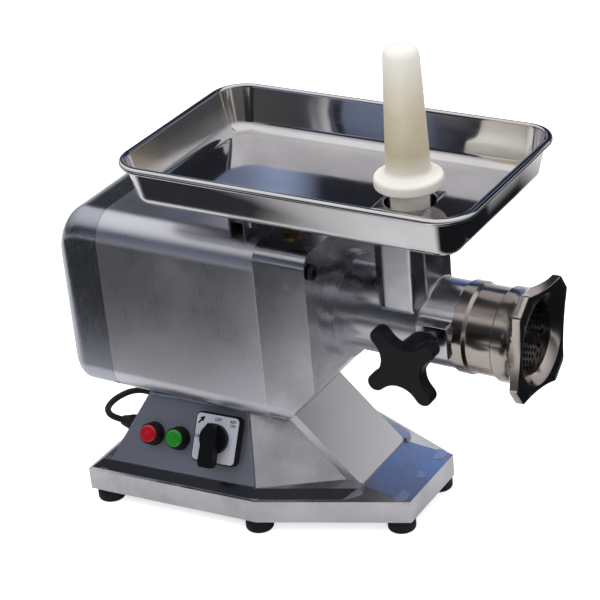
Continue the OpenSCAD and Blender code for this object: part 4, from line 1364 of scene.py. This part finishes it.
@dataclass
class Studio:
    """Camera, lamps, floor and the dark cards that polished metal reflects."""

    azimuth: float = 32.65
    elevation: float = 27.67
    roll: float = -5.36
    distance: float = 2.10595
    focal: float = 126.02
    target: tuple[float, float, float] = (-0.01582, 0.0, 0.21492)
    room_lean: float = 0.35
    room: tuple[tuple[float, float], ...] = ((0.05, 0.12), (0.38, 0.62), (0.65, 0.95), (1.0, 1.0))
    floor_glow: float = 0.7
    lamps: tuple[tuple[str, Point, float, float, Point], ...] = (
        ("key", (-0.7, -1.5, 2.4), 1.6, 26.0, (0.0, 0.0, 0.2)),
        ("fill", (1.9, -1.3, 1.2), 1.2, 9.0, (0.0, 0.0, 0.2)),
        ("rear", (-0.2, 1.8, 1.8), 1.2, 16.0, (0.0, 0.0, 0.3)),
    )
    card_fade: float = 0.08
    sky_blue: Color = (0.5, 0.62, 0.92, 1.0)
    cards: tuple[tuple[str, Color, float, tuple[Point, ...]], ...] = (
        ("dark_side", (0.03, 0.032, 0.036, 1.0), 0.0,
         ((-2.2, -2.2, 0.01), (-0.08, -2.2, 0.01), (-0.08, -0.18, 0.01), (-2.2, -0.18, 0.01))),
        ("dark_front", (0.01, 0.012, 0.014, 1.0), 0.0,
         ((0.15, -1.1, 0.01), (2.0, -1.1, 0.01), (2.0, 2.0, 0.01), (0.15, 2.0, 0.01))),
        ("windows", (0.02, 0.022, 0.03, 1.0), 5.0,
         ((-1.1, 0.62, 0.4), (0.9, 0.62, 0.4), (0.9, 0.62, 1.5), (-1.1, 0.62, 1.5))),
        ("blue_back", (0.16, 0.3, 0.72, 1.0), 0.0,
         ((-0.3, 0.5, 0.3), (-0.02, 0.5, 0.3), (-0.02, 0.5, 0.5), (-0.3, 0.5, 0.5))),
        ("dark_near", (0.03, 0.032, 0.036, 1.0), 3.0,
         ((-1.6, -0.9, 0.35), (0.3, -0.9, 0.35), (0.3, -0.9, 1.0), (-1.6, -0.9, 1.0))),
    )

    def camera(self) -> None:
        """Sets the camera."""
        az, el, roll = (math.radians(v) for v in (self.azimuth, self.elevation, self.roll))
        back = Vector((math.sin(az) * math.cos(el), -math.cos(az) * math.cos(el), math.sin(el)))
        right = Vector((math.cos(az), math.sin(az), 0))
        up = back.cross(right)
        x = right * math.cos(roll) + up * math.sin(roll)
        y = up * math.cos(roll) - right * math.sin(roll)
        lens = bpy.data.cameras.new("camera")
        lens.lens, lens.sensor_width, lens.clip_end = self.focal, 36.0, 50.0
        camera = placed("camera", lens)
        turn = Matrix((x, y, back)).transposed().to_4x4()
        camera.matrix_world = Matrix.Translation(Vector(self.target) + back * self.distance) @ turn
        bpy.context.scene.camera = camera

    def lamp(self, name: str, spot: Point, size: float, power: float, aim: Point) -> None:
        """Adds a soft square lamp.

        Args:
            name: Name of the lamp.
            spot: Its place.
            size: Its side in metres.
            power: Its power in watts.
            aim: Point that it faces.
        """
        light = bpy.data.lights.new(name, "AREA")
        light.energy, light.size = power, size
        lamp = placed(name, light)
        lamp.location = spot
        lamp.rotation_euler = (Vector(aim) - Vector(spot)).to_track_quat("-Z", "Y").to_euler()
        lamp.visible_glossy = False

    def card(self, name: str, shade: Color, streaks: float, corners: Sequence[Point]) -> None:
        """Adds a flat card with soft edges that only reflections see.

        Args:
            name: Name of the card.
            shade: Its colour.
            streaks: Upright bright streaks across it, or 0 for none.
            corners: Its four corners.
        """
        mesh = bpy.data.meshes.new(name)
        mesh.from_pydata(corners, [], [(0, 1, 2, 3)])
        spread = mesh.uv_layers.new(name="spread")
        for loop, corner in zip(spread.data, ((0, 0), (1, 0), (1, 1), (0, 1))):
            loop.uv = corner
        sheet = ShaderSheet(name)
        across = sheet.add("ShaderNodeUVMap", uv_map="spread").outputs[0]
        mask: object = 1.0
        for value in sheet.split(across)[:2]:
            mask = sheet.math("MULTIPLY", sheet.band_of(value, 0.0, self.card_fade), mask)
            mask = sheet.math("MULTIPLY", sheet.band_of(value, 1.0 - self.card_fade, 1.0, FALLING), mask)
        color: object = shade
        if streaks:
            sweep = sheet.add("ShaderNodeMapping", {"Vector": across, "Scale": (streaks, 0.8, 1.0)})
            bright = sheet.band_of(sheet.noise(1.0, 2.0, sweep.outputs[0]), 0.52, 0.68)
            color = sheet.mixed(bright, shade, self.sky_blue)
        glow = sheet.add("ShaderNodeEmission", {"Color": color, "Strength": 1.0}).outputs[0]
        clear = sheet.add("ShaderNodeBsdfTransparent").outputs[0]
        soft = sheet.add("ShaderNodeMixShader", {"0": mask, "1": clear, "2": glow}).outputs[0]
        sheet.tree.links.new(soft, sheet.tree.nodes["Material Output"].inputs["Surface"])
        mesh.materials.append(sheet.material)
        piece = placed(name, mesh)
        piece.visible_camera = piece.visible_diffuse = piece.visible_shadow = False
        piece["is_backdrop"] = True

    def world(self) -> None:
        """Sets the world: white behind the object, and a soft room for light and reflections."""
        world = bpy.data.worlds.new("world")
        bpy.context.scene.world = world
        world.use_nodes = True
        room = NodeSheet()
        room.tree = world.node_tree
        room.tree.nodes.clear()
        way = room.split(room.add("ShaderNodeTexCoord").outputs["Generated"])
        rise = room.math("ADD", way[2], room.math("MULTIPLY", way[1], self.room_lean))
        ramp = room.add("ShaderNodeValToRGB", {"0": rise}).outputs[0]
        stops = ramp.node.color_ramp.elements
        for _ in self.room[2:]:
            stops.new(0.5)
        cool = 1.03
        for index, (spot, shade) in enumerate(self.room):
            stops[index].position, stops[index].color = spot, (shade, shade, min(shade * cool, 1.0), 1.0)
        soft = room.add("ShaderNodeBackground", {"Color": ramp, "Strength": 1.0}).outputs[0]
        seen = room.add("ShaderNodeBackground", {"Color": (1.0, 1.0, 1.0, 1.0), "Strength": 1.0}).outputs[0]
        path = room.add("ShaderNodeLightPath").outputs
        most = room.math("MAXIMUM", path["Is Camera Ray"], path["Is Transmission Ray"])
        mix = room.add("ShaderNodeMixShader", {"0": most, "1": soft, "2": seen}).outputs[0]
        room.add("ShaderNodeOutputWorld", {"0": mix})

    def floor(self) -> None:
        """Lays a white floor that keeps a light shadow."""
        mesh = bpy.data.meshes.new("floor")
        mesh.from_pydata([(-9, -9, 0), (9, -9, 0), (9, 9, 0), (-9, 9, 0)], [], [(0, 1, 2, 3)])
        sheet = ShaderSheet("floor")
        path = sheet.add("ShaderNodeLightPath").outputs["Is Camera Ray"]
        glow = sheet.band_of(path, 0.0, 1.0, (0.0, self.floor_glow))
        sheet.set(Base_Color=(0.8, 0.8, 0.8, 1.0), Roughness=1.0, Specular_IOR_Level=0.0)
        sheet.set(Emission_Color=(1.0, 1.0, 1.0, 1.0), Emission_Strength=glow)
        mesh.materials.append(sheet.material)
        placed("floor", mesh)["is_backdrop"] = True

    def build(self) -> None:
        """Sets up the studio."""
        bpy.context.scene.view_settings.view_transform = "Standard"
        self.world()
        self.floor()
        for lamp in self.lamps:
            self.lamp(*lamp)
        for card in self.cards:
            self.card(*card)


def main() -> None:
    """Builds the machine and the studio."""
    logging.basicConfig(level=logging.INFO, format="%(name)s: %(message)s")
    for leftover in list(bpy.data.objects):
        bpy.data.objects.remove(leftover)
    frame = Frame()
    Studio().camera()
    MainsCord(frame).build()
    Stand(frame).build()
    Housing(frame).build()
    DriveTrain(frame).build()
    GrindingHead(frame).build()
    PanAndPusher(frame).build()
    Controls(frame).build()
    Studio().build()


if __name__ == "__main__":
    main()
